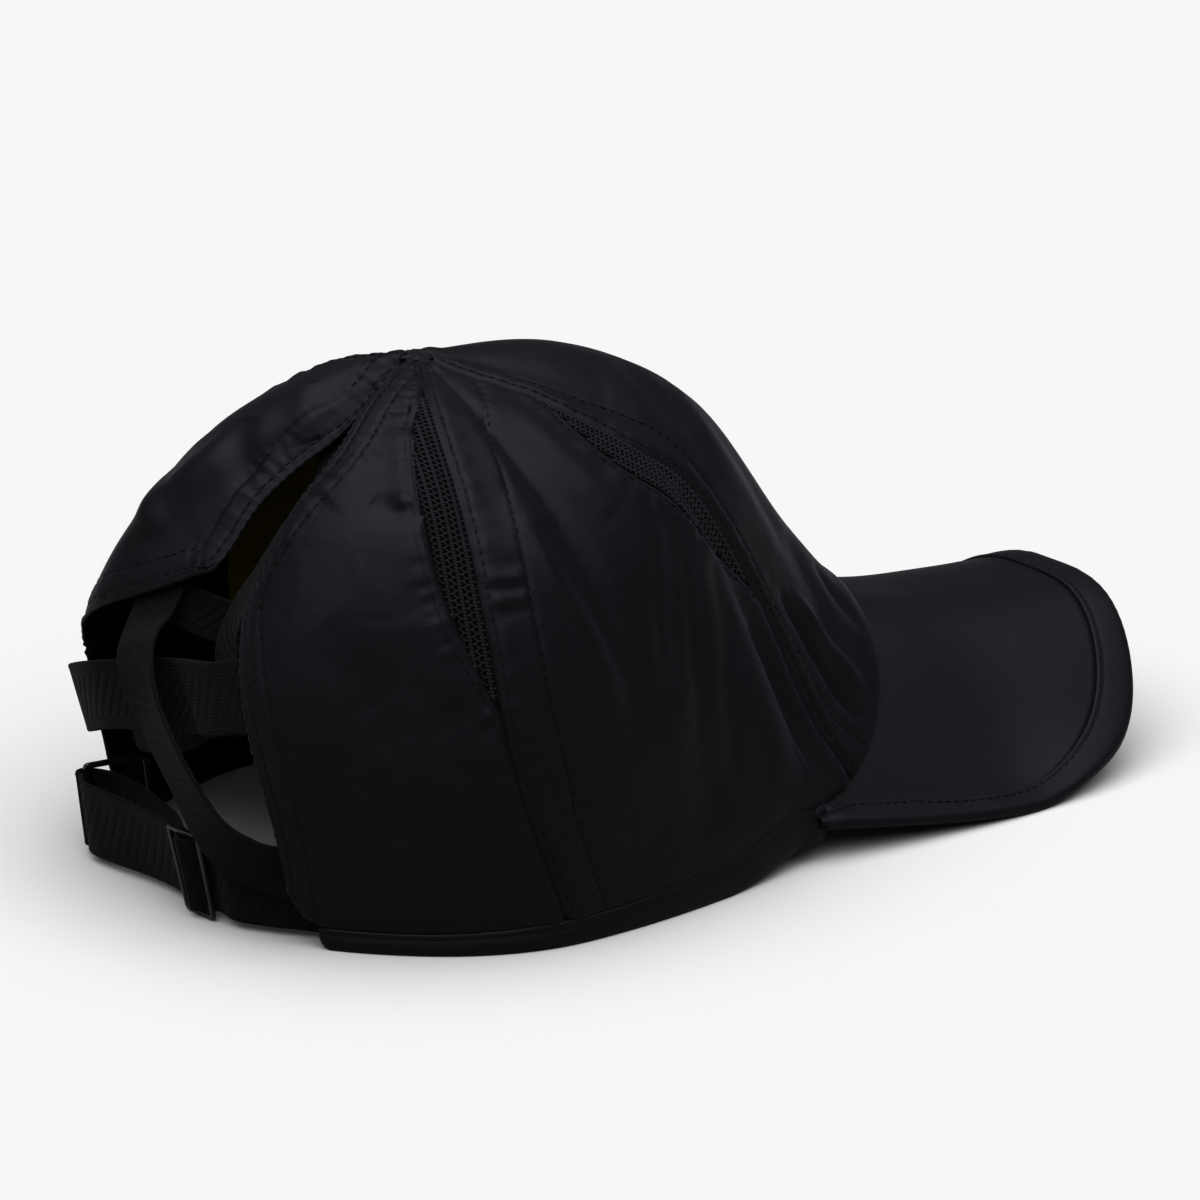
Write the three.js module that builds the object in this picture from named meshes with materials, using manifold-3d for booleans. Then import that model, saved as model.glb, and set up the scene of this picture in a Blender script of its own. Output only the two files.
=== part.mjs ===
// A soft five-panel running cap with an open back for a ponytail and four elastic straps.
// Millimetres, +Z up, the front points to -Y and the wearer's left to +X.
// Everything is placed round the crown's axis, and the last lines move the cap so that the origin
// lies under the middle of its bounding box, on the surface that it rests on.
import * as THREE from "three";
import Module from "manifold-3d";

// Driving sizes of the crown
const CROWN = {
  height: 120,
  halfWidth: 73,
  frontReach: 116.5,
  rearReach: 67,
  wall: 1.2,
  slack: 4,
};
const SEAM_GAP = 0.4;
const TACK = { radius: 5.5, height: 1, clearance: 0.35 };
const PANEL_TOP = 0.035;

// The hem's binding and the brim's border
const HEM = { height: 5, wall: 2.2, proud: 0.3, gap: 0.65, cornerRadius: 9, setBack: 6.3 };
const BRIM = {
  length: 75,
  halfWidth: 63.5,
  height: 45,
  board: 3,
  border: 10,
  borderThickness: 3.8,
  rootAngle: 40,
  tuck: 3,
  seat: 1.1,
};

// Insets, lining, straps and slider
const MESH = { frontWidth: 12, rearWidth: 9.5, wall: 1, sink: 0.3, gap: 0.85, trim: 0.042 };
const LINING = { wall: 1, gap: 0.7, margin: 4 };
const STRAP = {
  wall: 1.1,
  crossWidth: 13,
  upperWidth: 10.5,
  midWidth: 16.5,
  lowWidth: 18.4,
  gap: 0.45,
  loose: 0.9,
};
const SLIDER = { height: 21.8, width: 11, bar: 1.2, floor: 0.2, angle: -170, off: 0.1 };
const RING = { height: 21.8, bar: 1.3, reach: 15 };

const DEGREE = Math.PI / 180;

// One row for each rib, measured round from the front. reach is a share of the oval plan, the out
// columns are shares of that reach, and the up columns shares of the height above the lower edge.
const RIBS = [
  { angle: 0, reach: 1, out1: 0.34, up1: 0.955, out2: 0.61, up2: 0.75, out3: 0.81, up3: 0.3 },
  { angle: 20, reach: 1.05, out1: 0.32, up1: 0.94, out2: 0.6, up2: 0.74, out3: 0.83, up3: 0.32 },
  { angle: 35, reach: 1.03, out1: 0.33, up1: 0.92, out2: 0.63, up2: 0.73, out3: 0.86, up3: 0.35 },
  { angle: 60, reach: 1, out1: 0.4, up1: 0.91, out2: 0.74, up2: 0.7, out3: 0.94, up3: 0.36 },
  { angle: 95, reach: 1, out1: 0.42, up1: 0.92, out2: 0.79, up2: 0.71, out3: 0.98, up3: 0.37 },
  { angle: 125, reach: 0.98, out1: 0.44, up1: 0.93, out2: 0.83, up2: 0.74, out3: 1.02, up3: 0.4 },
  { angle: 150, reach: 1, out1: 0.43, up1: 0.92, out2: 0.82, up2: 0.74, out3: 1.06, up3: 0.41 },
  { angle: 165, reach: 1, out1: 0.4, up1: 0.87, out2: 0.74, up2: 0.69, out3: 1.02, up3: 0.41 },
  { angle: 180, reach: 1, out1: 0.36, up1: 0.84, out2: 0.67, up2: 0.68, out3: 0.95, up3: 0.42 },
];

// The rear left panel stands out further than the right one low down: shares of the reach.
const LEFT_BULGE = { angle: 150, spread: 28, hem: 0.06, wall: 0.02, crown: -0.05 };

// Where each seam and free edge runs: level is 0 at the top and 1 at the lower edge.
const FRONT_SEAM = [
  { level: 0, angle: 70 },
  { level: 0.1, angle: 62 },
  { level: 0.2, angle: 53 },
  { level: 0.4, angle: 42 },
  { level: 0.5, angle: 36 },
  { level: 0.65, angle: 34.5 },
  { level: 0.85, angle: 34 },
  { level: 1, angle: 31 },
];
const REAR_SEAM = [
  { level: 0, angle: 118 },
  { level: 0.2, angle: 114.5 },
  { level: 0.4, angle: 110 },
  { level: 0.6, angle: 107.5 },
  { level: 0.8, angle: 103.5 },
  { level: 1, angle: 94.5 },
];
const RIGHT_EDGE = [
  { level: 0, angle: 150 },
  { level: 0.2, angle: 147.5 },
  { level: 0.34, angle: 147.5 },
  { level: 0.45, angle: 154 },
  { level: 0.58, angle: 159 },
  { level: 0.67, angle: 155.6 },
  { level: 0.76, angle: 151.5 },
  { level: 0.86, angle: 148 },
  { level: 1, angle: 146 },
];
const LEFT_EDGE = [
  { level: 0, angle: 184 },
  { level: 0.16, angle: 184 },
  { level: 0.3, angle: 176.5 },
  { level: 0.42, angle: 174.6 },
  { level: 0.57, angle: 176 },
  { level: 0.6, angle: 170 },
  { level: 0.64, angle: 163 },
  { level: 0.69, angle: 154 },
  { level: 0.74, angle: 146.5 },
  { level: 0.8, angle: 143.5 },
  { level: 1, angle: 143.5 },
];

// Cubic through the rows of one column; mirrored tables repeat themselves past both ends.
function along(rows, key, column, at, mirrored = false) {
  const last = rows.length - 1;
  const x = THREE.MathUtils.clamp(at, rows[0][key], rows[last][key]);
  let i = 0;
  while (i < last - 1 && x > rows[i + 1][key]) i++;
  const [a, b] = [rows[i], rows[i + 1]];
  const span = b[key] - a[key];
  const slope = (j) => {
    if (j === 0 || j === last) return mirrored ? 0 : (b[column] - a[column]) / span;
    return (rows[j + 1][column] - rows[j - 1][column]) / (rows[j + 1][key] - rows[j - 1][key]);
  };
  const t = (x - a[key]) / span;
  const [t2, t3] = [t * t, t * t * t];
  return (
    (2 * t3 - 3 * t2 + 1) * a[column] +
    (t3 - 2 * t2 + t) * span * slope(i) +
    (3 * t2 - 2 * t3) * b[column] +
    (t3 - t2) * span * slope(i + 1)
  );
}

const fromFront = (angle) => Math.abs(THREE.MathUtils.euclideanModulo(angle + 180, 360) - 180);
const rib = (column, angle) => along(RIBS, "angle", column, fromFront(angle), true);
const bump = (distance) => Math.exp(-distance * distance);

function leftBulge(angle) {
  return bump((THREE.MathUtils.euclideanModulo(angle, 360) - LEFT_BULGE.angle) / LEFT_BULGE.spread);
}

// Distance from the crown's axis to the hem, in plan
function hemReach(angle) {
  const sine = Math.sin(angle * DEGREE);
  const cosine = Math.cos(angle * DEGREE);
  const lengthwise = cosine > 0 ? CROWN.frontReach : CROWN.rearReach;
  const oval = 1 / Math.hypot(sine / CROWN.halfWidth, cosine / lengthwise);
  return oval * (rib("reach", angle) + LEFT_BULGE.hem * leftBulge(angle));
}

function planPoint(angle, distance, height = 0) {
  const turned = angle * DEGREE;
  return new THREE.Vector3(distance * Math.sin(turned), -distance * Math.cos(turned), height);
}

// The brim's arch: along is 0 at the crown's front and 1 at the tip, the rest are shares of its height.
const BRIM_ARCH = [
  { along: -0.65, crest: 1, drop: 0.73 },
  { along: -0.2, crest: 0.99, drop: 0.835 },
  { along: 0.05, crest: 0.96, drop: 0.86 },
  { along: 0.3, crest: 0.9, drop: 0.83 },
  { along: 0.55, crest: 0.87, drop: 0.735 },
  { along: 0.8, crest: 0.855, drop: 0.69 },
  { along: 1, crest: 0.87, drop: 0.69 },
];
const ARCH_POWER = 3.4;

function brimHeight(x, y) {
  const part = (-y - CROWN.frontReach) / BRIM.length;
  const crest = along(BRIM_ARCH, "along", "crest", part);
  const drop = along(BRIM_ARCH, "along", "drop", part);
  const across = Math.min(Math.abs(x) / BRIM.halfWidth, 1);
  return BRIM.height * (crest - drop * Math.sin(across * 90 * DEGREE) ** ARCH_POWER);
}

// The binding behind the brim: rise is a share of its height above the floor at the brim's root, tall
// a share of the hem's height.
const HEM_LINE = [
  { angle: 40, rise: 1, tall: 1.7 },
  { angle: 43, rise: 1.2, tall: 1.95 },
  { angle: 46, rise: 0.95, tall: 2.15 },
  { angle: 52, rise: 0.35, tall: 2.15 },
  { angle: 58, rise: 0, tall: 1.95 },
  { angle: 66, rise: 0, tall: 1.6 },
  { angle: 80, rise: 0, tall: 1.3 },
  { angle: 100, rise: 0, tall: 1.15 },
  { angle: 120, rise: 0, tall: 1 },
  { angle: 150, rise: 0, tall: 1 },
];
const hemTall = (angle) => HEM.height * along(HEM_LINE, "angle", "tall", Math.abs(angle));

const rootPoint = planPoint(BRIM.rootAngle, hemReach(BRIM.rootAngle));
const rootRise = brimHeight(rootPoint.x, rootPoint.y) - hemTall(BRIM.rootAngle);

function hemFloor(angle) {
  return rootRise * Math.max(along(HEM_LINE, "angle", "rise", Math.abs(angle)), 0);
}

// Lower edge of the panels: on the brim in front, on the binding elsewhere
function lowerEdge(angle) {
  if (Math.abs(angle) < BRIM.rootAngle) {
    const { x, y } = planPoint(angle, hemReach(angle) - CROWN.wall - SEAM_GAP);
    return brimHeight(x, y) + BRIM.seat;
  }
  return hemFloor(angle) + hemTall(angle) + HEM.gap;
}

// Soft folds of the cloth: depth is a share of the slack, the sizes are shares of the crown's height.
const FOLDS = [
  { angle: -84, level: 0.42, wide: 0.05, long: 0.3, turn: 20, depth: -0.45 },
  { angle: -66, level: 0.62, wide: 0.08, long: 0.32, turn: 35, depth: -0.5 },
  { angle: -122, level: 0.5, wide: 0.09, long: 0.4, turn: -12, depth: 0.5 },
  { angle: -134, level: 0.82, wide: 0.08, long: 0.26, turn: -30, depth: -0.45 },
  { angle: -38, level: 0.8, wide: 0.06, long: 0.22, turn: 10, depth: -0.6 },
  { angle: 75, level: 0.5, wide: 0.08, long: 0.35, turn: -25, depth: -0.5 },
  { angle: 128, level: 0.55, wide: 0.08, long: 0.35, turn: 18, depth: -0.5 },
  { angle: 156, level: 0.42, wide: 0.06, long: 0.25, turn: -20, depth: 0.5 },
  { angle: 12, level: 0.72, wide: 0.07, long: 0.3, turn: 30, depth: -0.35 },
];

function foldDepth(angle, level) {
  const around = (hemReach(angle) * DEGREE) / CROWN.height;
  const fade = THREE.MathUtils.smoothstep(level, 0, 0.15) * THREE.MathUtils.smoothstep(1 - level, 0, 0.12);
  return FOLDS.reduce((sum, fold) => {
    const side = (THREE.MathUtils.euclideanModulo(angle - fold.angle + 180, 360) - 180) * around;
    const down = level - fold.level;
    const [sine, cosine] = [Math.sin(fold.turn * DEGREE), Math.cos(fold.turn * DEGREE)];
    const across = (side * cosine - down * sine) / fold.wide;
    const lengthwise = (side * sine + down * cosine) / fold.long;
    return sum + fold.depth * CROWN.slack * fade * bump(Math.hypot(across, lengthwise));
  }, 0);
}

// A point of the crown's outer surface before its folds
function smoothCrown(angle, level) {
  const low = lowerEdge(angle);
  const wallOut = rib("out3", angle) + LEFT_BULGE.wall * leftBulge(angle);
  const crownOut = LEFT_BULGE.crown * leftBulge(angle);
  const stations = [
    { level: 0, out: 0, up: 1 },
    { level: 0.25, out: rib("out1", angle) + crownOut, up: rib("up1", angle) },
    { level: 0.5, out: rib("out2", angle) + crownOut, up: rib("up2", angle) },
    { level: 0.75, out: wallOut, up: rib("up3", angle) },
    { level: 1, out: 1, up: 0 },
  ];
  const out = along(stations, "level", "out", level);
  const up = along(stations, "level", "up", level);
  return planPoint(angle, out * hemReach(angle), low + (CROWN.height - low) * up);
}

// The wall stands upright over this share of its run, above the lower edge.
const UPRIGHT = 0.1;

function crownNormal(angle, level) {
  const step = 0.004;
  const upper = smoothCrown(angle, Math.max(level - step, 0.01));
  const lower = smoothCrown(angle, Math.min(level + step, 1));
  const before = smoothCrown(angle - 1, Math.max(level, 0.02));
  const after = smoothCrown(angle + 1, Math.max(level, 0.02));
  const normal = after.sub(before).cross(upper.sub(lower)).normalize();
  normal.z *= THREE.MathUtils.smoothstep(1 - level, 0, UPRIGHT);
  return normal.normalize();
}

// A point of the crown, lifted off its outer surface by a distance (inwards if negative)
function crownPoint(angle, level, lift = 0) {
  const height = lift + foldDepth(angle, level);
  return smoothCrown(angle, level).addScaledVector(crownNormal(angle, level), height);
}

// A closed solid between two grids of points: outer(i, j) faces outwards, inner(i, j) lies behind it.
function slab(columns, rows, outer, inner) {
  const points = [];
  for (const side of [outer, inner])
    for (let j = 0; j <= rows; j++)
      for (let i = 0; i <= columns; i++) points.push(...side(i / columns, j / rows).toArray());
  const width = columns + 1;
  const layer = width * (rows + 1);
  const faces = [];
  const quad = (a, b, c, d) => faces.push(a, b, c, a, c, d);
  for (let j = 0; j < rows; j++)
    for (let i = 0; i < columns; i++) {
      const a = j * width + i;
      quad(a, a + width, a + width + 1, a + 1);
      quad(layer + a, layer + a + 1, layer + a + width + 1, layer + a + width);
    }
  const wall = (a, b) => quad(a, b, b + layer, a + layer);
  for (let i = 0; i < columns; i++) {
    wall(i, i + 1);
    wall(rows * width + i + 1, rows * width + i);
  }
  for (let j = 0; j < rows; j++) {
    wall((j + 1) * width, j * width);
    wall(j * width + columns, (j + 1) * width + columns);
  }
  const geometry = new THREE.BufferGeometry();
  geometry.setAttribute("position", new THREE.Float32BufferAttribute(points, 3));
  geometry.setIndex(faces);
  geometry.computeVertexNormals();
  return geometry;
}

// Turns the faces round if they look inwards, as they do on the mirrored side
function facingOut(points, faces) {
  const corner = (k) => new THREE.Vector3().fromArray(points, 3 * k);
  let volume = 0;
  for (let k = 0; k < faces.length; k += 3) {
    const [a, b, c] = faces.slice(k, k + 3).map(corner);
    volume += a.dot(b.cross(c));
  }
  return volume > 0 ? faces : faces.toReversed();
}

// A closed solid swept through rings of points, with flat ends
function sweep(rings) {
  const count = rings[0].length;
  const points = rings.flatMap((ring) => ring.flatMap((point) => point.toArray()));
  const faces = [];
  for (let k = 0; k < rings.length - 1; k++)
    for (let i = 0; i < count; i++) {
      const [a, b] = [k * count + i, k * count + ((i + 1) % count)];
      faces.push(a, b, b + count, a, b + count, a + count);
    }
  const end = (rings.length - 1) * count;
  for (let i = 1; i < count - 1; i++) {
    faces.push(0, i + 1, i);
    faces.push(end, end + i, end + i + 1);
  }
  const geometry = new THREE.BufferGeometry();
  geometry.setAttribute("position", new THREE.Float32BufferAttribute(points, 3));
  geometry.setIndex(facingOut(points, faces));
  geometry.computeVertexNormals();
  return geometry;
}

const cap = new THREE.Group();

function add(name, geometry, material) {
  const mesh = new THREE.Mesh(geometry, material);
  mesh.name = name;
  cap.add(mesh);
}

const cloth = new THREE.MeshStandardMaterial({ color: 0x0b0b0f, roughness: 0.55, metalness: 0 });
const knit = new THREE.MeshStandardMaterial({ color: 0x08080a, roughness: 0.85, metalness: 0 });
const elastic = new THREE.MeshStandardMaterial({ color: 0x09090b, roughness: 0.8, metalness: 0 });
const liningCloth = new THREE.MeshStandardMaterial({ color: 0x2a2206, roughness: 0.7, metalness: 0 });
const gloss = new THREE.MeshStandardMaterial({ color: 0x08080a, roughness: 0.25, metalness: 0 });

// Angle by which a gap of this many millimetres stands off a seam at this level
function gapAngle(angle, level, millimetres) {
  const radius = Math.hypot(smoothCrown(angle, level).x, smoothCrown(angle, level).y);
  return millimetres / radius / DEGREE;
}

const frontSeam = (level) => along(FRONT_SEAM, "level", "angle", level);
const rearSeam = (level) => along(REAR_SEAM, "level", "angle", level);

// The crescent insets run beside a seam between two levels, widest in the middle.
const FRONT_INSET = { from: 0.23, to: 0.67, width: MESH.frontWidth };
const REAR_INSET = { from: 0.16, to: 0.71, width: MESH.rearWidth };

function insetWidth(inset, level) {
  const t = THREE.MathUtils.clamp((level - inset.from) / (inset.to - inset.from), 0, 1);
  return inset.width * Math.sin(Math.PI * t ** 1.2) ** 0.8;
}

// A panel between two edges, each a function of level that gives a signed angle
function panel(columns, rows, firstEdge, secondEdge, bottom = () => 1) {
  const spot = (u, v, lift) => {
    const level = PANEL_TOP + (bottom(u) - PANEL_TOP) * v;
    const angle = THREE.MathUtils.lerp(firstEdge(level), secondEdge(level), u);
    return crownPoint(angle, level, lift);
  };
  return slab(
    columns,
    rows,
    (u, v) => spot(u, v, 0),
    (u, v) => spot(u, v, -CROWN.wall),
  );
}

function frontPanel() {
  const edge = (side) => (level) => {
    const angle = frontSeam(level);
    return side * (angle - gapAngle(angle, level, SEAM_GAP / 2));
  };
  add("panel_front", panel(20, 16, edge(-1), edge(1)), cloth);
}

function sidePanel(side, name) {
  const front = (level) => {
    const angle = frontSeam(level);
    return side * (angle + gapAngle(angle, level, SEAM_GAP / 2 + insetWidth(FRONT_INSET, level)));
  };
  const rear = (level) => {
    const angle = rearSeam(level);
    return side * (angle - gapAngle(angle, level, SEAM_GAP / 2));
  };
  add(name, side < 0 ? panel(16, 18, rear, front) : panel(16, 18, front, rear), cloth);
}

function rearPanel(side, name, edgeRows) {
  const seam = (level) => {
    const angle = rearSeam(level);
    return side * (angle + gapAngle(angle, level, SEAM_GAP / 2 + insetWidth(REAR_INSET, level)));
  };
  const free = (level) => side * along(edgeRows, "level", "angle", level);
  const halfAngle = gapAngle(free(1), 1, HEM.cornerRadius) / Math.abs(free(1) - seam(1));
  const bottom = (fromEdge) => {
    const t = THREE.MathUtils.clamp(1 - fromEdge / halfAngle, 0, 1);
    return 1 - (HEM.cornerRadius / CROWN.height) * (1 - Math.sqrt(1 - t * t));
  };
  const geometry =
    side < 0
      ? panel(12, 20, free, seam, (u) => bottom(u))
      : panel(12, 20, seam, free, (u) => bottom(1 - u));
  add(name, geometry, cloth);
}

function meshInset(side, name, seam, inset, direction) {
  const spot = (u, v, lift) => {
    const level = THREE.MathUtils.lerp(inset.from + MESH.trim, inset.to - MESH.trim, v);
    const angle = seam(level);
    const near = gapAngle(angle, level, SEAM_GAP / 2 + MESH.gap);
    const far = gapAngle(angle, level, SEAM_GAP / 2 + insetWidth(inset, level) - MESH.gap);
    const turn = THREE.MathUtils.lerp(near, far, side * direction > 0 ? u : 1 - u);
    return crownPoint(side * (angle + direction * turn), level, lift);
  };
  const geometry = slab(
    3,
    14,
    (u, v) => spot(u, v, -MESH.sink),
    (u, v) => spot(u, v, -MESH.sink - MESH.wall),
  );
  add(name, geometry, knit);
}

function liningPanel() {
  const spot = (u, v, lift) => {
    const level = THREE.MathUtils.lerp(0.3, 0.97, v);
    const from = frontSeam(level) + gapAngle(90, level, LINING.margin + MESH.frontWidth);
    const to = rearSeam(level) - gapAngle(90, level, LINING.margin);
    return crownPoint(THREE.MathUtils.lerp(from, to, u), level, lift);
  };
  const lift = -CROWN.wall - LINING.gap;
  const geometry = slab(
    8,
    10,
    (u, v) => spot(u, v, lift),
    (u, v) => spot(u, v, lift - LINING.wall),
  );
  add("lining_left", geometry, liningCloth);
}

function crownTack() {
  const base = CROWN.height + TACK.clearance;
  const profile = [new THREE.Vector2(0, base), new THREE.Vector2(TACK.radius, base)];
  for (let k = 1; k <= 4; k++) {
    const turned = (k / 4) * 90 * DEGREE;
    profile.push(
      new THREE.Vector2(k === 4 ? 0 : TACK.radius * Math.cos(turned), base + TACK.height * Math.sin(turned)),
    );
  }
  const geometry = new THREE.LatheGeometry(profile, 12);
  geometry.rotateX(Math.PI / 2);
  add("crown_tack", geometry, cloth);
}

// The brim's outline in plan: part is 0 at the tip and 1 at the right or left root.
const OUTLINE = { widest: 0.68, power: 2.9, shoulder: 8, taper: 0.02, rootLap: 1.5 };

function outlinePoint(part, side) {
  const widestY = -CROWN.frontReach + OUTLINE.shoulder;
  if (part > OUTLINE.widest) {
    const t = (part - OUTLINE.widest) / (1 - OUTLINE.widest);
    const x = BRIM.halfWidth * (1 - OUTLINE.taper * t * t);
    return new THREE.Vector3(side * x, THREE.MathUtils.lerp(widestY, rootPoint.y - OUTLINE.rootLap, t), 0);
  }
  const turned = (part / OUTLINE.widest) * 90 * DEGREE;
  const x = BRIM.halfWidth * Math.sin(turned) ** (2 / OUTLINE.power);
  const y = widestY - (BRIM.length + OUTLINE.shoulder) * Math.cos(turned) ** (2 / OUTLINE.power);
  return new THREE.Vector3(side * x, y, 0);
}

// A line in plan from under the crown's front edge to the brim's outline; u runs from side to side.
function brimLine(u) {
  const angle = u * BRIM.rootAngle;
  const root = planPoint(angle, hemReach(angle) - BRIM.tuck);
  const rim = outlinePoint(Math.abs(u), Math.sign(u));
  const length = root.distanceTo(rim);
  const outside = BRIM.tuck + HEM.proud + SEAM_GAP;
  return { root, rim, length, borderFrom: Math.max(length - BRIM.border, outside) };
}

function brimPoint(u, distance, lift) {
  const { root, rim, length } = brimLine(u);
  const { x, y } = root.lerp(rim, distance / length);
  return new THREE.Vector3(x, y, brimHeight(x, y) + lift);
}

// The binding runs past the board by this many of its steps on each side.
const BRIM_STEPS = 48;
const BOARD_STEPS = 44;
const BOARD_SPREAD = BOARD_STEPS / BRIM_STEPS;
const BORDER = { lift: 0.4, shoulder: 0.3, gap: 0.65 };

function brimBoard() {
  const spot = (u, v, lift) => {
    const across = (2 * u - 1) * BOARD_SPREAD;
    return brimPoint(across, v * (brimLine(across).borderFrom - BORDER.gap), lift);
  };
  const under = (u, v) => spot(u, v, -BRIM.board);
  add("brim", slab(BOARD_STEPS, 7, (u, v) => spot(u, v, 0), under), cloth);
}

function brimBinding() {
  const low = BORDER.lift - BRIM.borderThickness;
  const rings = [];
  for (let k = 0; k <= BRIM_STEPS; k++) {
    const across = (2 * k) / BRIM_STEPS - 1;
    const { length, borderFrom } = brimLine(across);
    const middle = (borderFrom + length) / 2;
    rings.push([
      brimPoint(across, borderFrom, low),
      brimPoint(across, borderFrom, BORDER.lift),
      brimPoint(across, middle, BORDER.lift + BORDER.shoulder),
      brimPoint(across, length - BORDER.shoulder, BORDER.lift - BORDER.shoulder),
      brimPoint(across, length, (BORDER.lift + low) / 2),
      brimPoint(across, length - BORDER.shoulder, low + BORDER.shoulder),
      brimPoint(across, middle, low),
    ]);
  }
  add("brim_binding", sweep(rings), cloth);
}

function hemBinding(side, name) {
  const first = BRIM.rootAngle * BOARD_SPREAD + 1;
  const free = side < 0 ? RIGHT_EDGE : LEFT_EDGE;
  const corner = along(free, "level", "angle", 1);
  const last = corner - gapAngle(side * corner, 1, HEM.setBack);
  const steps = 30;
  const rings = [];
  for (let k = 0; k <= steps; k++) {
    const angle = side * THREE.MathUtils.lerp(first, last, k / steps);
    const reach = hemReach(angle);
    const top = lowerEdge(angle) - HEM.gap;
    const floor = Math.abs(angle) < BRIM.rootAngle ? top - hemTall(BRIM.rootAngle) : hemFloor(angle);
    const inside = reach + HEM.proud - HEM.wall;
    rings.push([
      planPoint(angle, reach, floor),
      planPoint(angle, reach + HEM.proud, THREE.MathUtils.lerp(floor, top, 0.4)),
      planPoint(angle, reach, top),
      planPoint(angle, inside, top),
      planPoint(angle, inside, floor),
    ]);
  }
  add(name, sweep(rings), cloth);
}

// A flat strap along a curve. Its rows give angle and level on the crown, off is the distance outside the
// crown's surface as a share of the cloth's slack, and tilt leans its width out of that surface. The first
// end can be cut off at a slant, a share of the width.
function strap(name, rows, width, steps, slant = 0) {
  const centres = rows.map(({ angle, level, off }) => crownPoint(angle, level, off * CROWN.slack));
  const normals = rows.map(({ angle, level }) => crownNormal(angle, level));
  const curve = new THREE.CatmullRomCurve3(centres, false, "centripetal");
  const turns = rows.map(({ tilt }, k) => ({ at: k / (rows.length - 1), tilt }));
  const rings = [];
  for (let k = 0; k <= steps; k++) {
    const part = k / steps;
    const centre = curve.getPoint(part);
    const ahead = curve.getTangent(part);
    const row = Math.min(Math.floor(part * (rows.length - 1)), rows.length - 2);
    const outwards = normals[row].clone().lerp(normals[row + 1], part * (rows.length - 1) - row);
    const wide = ahead.clone().cross(outwards).normalize();
    wide.applyAxisAngle(ahead, along(turns, "at", "tilt", part) * DEGREE);
    const thick = wide.clone().cross(ahead).multiplyScalar(STRAP.wall / 2);
    wide.addScaledVector(ahead, slant * (1 - part)).multiplyScalar(width / 2);
    const corner = (w, t) => centre.clone().addScaledVector(wide, w).addScaledVector(thick, t);
    rings.push([corner(-1, -1), corner(1, -1), corner(1, 1), corner(-1, 1)]);
  }
  add(name, sweep(rings), elastic);
}

// Middle lines of the straps as they lie. The rows at the ends lie inside the panels that hold them.
const CROSS_LEFT = [
  { angle: 159, level: 0.5, off: -0.72, tilt: 0 },
  { angle: 164, level: 0.6, off: -0.74, tilt: 0 },
  { angle: 167.5, level: 0.665, off: -0.6, tilt: 0 },
  { angle: 171, level: 0.712, off: 0.45, tilt: 5 },
  { angle: 175, level: 0.755, off: 1, tilt: 10 },
  { angle: 181.5, level: 0.797, off: 1.1, tilt: 8 },
  { angle: 191.5, level: 0.845, off: 0.75, tilt: 4 },
  { angle: 201, level: 0.905, off: 0.7, tilt: 0 },
  { angle: 207, level: 0.93, off: 0.15, tilt: 0 },
  { angle: 212.5, level: 0.945, off: -0.72, tilt: 0 },
  { angle: 219, level: 0.955, off: -0.8, tilt: 0 },
];
const CROSS_RIGHT = [
  { angle: 175, level: 0.2, off: -1.15, tilt: 0 },
  { angle: 186, level: 0.29, off: -1.1, tilt: 0 },
  { angle: 197, level: 0.42, off: -0.8, tilt: 0 },
  { angle: 194, level: 0.53, off: -0.95, tilt: 0 },
  { angle: 188, level: 0.6, off: -1.3, tilt: 0 },
  { angle: 186, level: 0.65, off: -1.75, tilt: 0 },
  { angle: 186.5, level: 0.7, off: -2.25, tilt: 0 },
  { angle: 186, level: 0.76, off: -2.5, tilt: 0 },
  { angle: 178, level: 0.82, off: -2, tilt: 0 },
  { angle: 160, level: 0.86, off: -2.6, tilt: 0 },
  { angle: 139, level: 0.88, off: -1.5, tilt: 0 },
];
const UPPER = [
  { angle: 156, level: 0.6, off: -1.3, tilt: 0 },
  { angle: 165, level: 0.622, off: -1.35, tilt: 5 },
  { angle: 173, level: 0.635, off: -1.7, tilt: 15 },
  { angle: 181, level: 0.635, off: -2.5, tilt: 25 },
  { angle: 191, level: 0.625, off: -3.1, tilt: 10 },
  { angle: 210, level: 0.61, off: -2.4, tilt: 0 },
];
const MID_LEFT = [
  { angle: 136, level: 0.845, off: -1.15, tilt: 0 },
  { angle: 142.5, level: 0.84, off: -1.05, tilt: 0 },
  { angle: 145.5, level: 0.838, off: -0.8, tilt: 3 },
  { angle: 150, level: 0.83, off: 0.15, tilt: 8 },
  { angle: 159.5, level: 0.806, off: -0.1, tilt: 8 },
  { angle: 168, level: 0.79, off: -0.45, tilt: 5 },
  { angle: 175.5, level: 0.78, off: -0.4, tilt: 0 },
  { angle: 182.5, level: 0.77, off: -0.8, tilt: 0 },
  { angle: 190, level: 0.752, off: -1.25, tilt: 0 },
  { angle: 203, level: 0.725, off: -1.4, tilt: 0 },
  { angle: 216, level: 0.705, off: -1.45, tilt: 0 },
];
const MID_RIGHT = [
  { angle: 189.5, level: 0.754, off: -0.1, tilt: 0 },
  { angle: 196.5, level: 0.738, off: -0.35, tilt: 0 },
  { angle: 202.5, level: 0.724, off: -0.8, tilt: 0 },
  { angle: 215, level: 0.708, off: -0.85, tilt: 0 },
];

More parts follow.
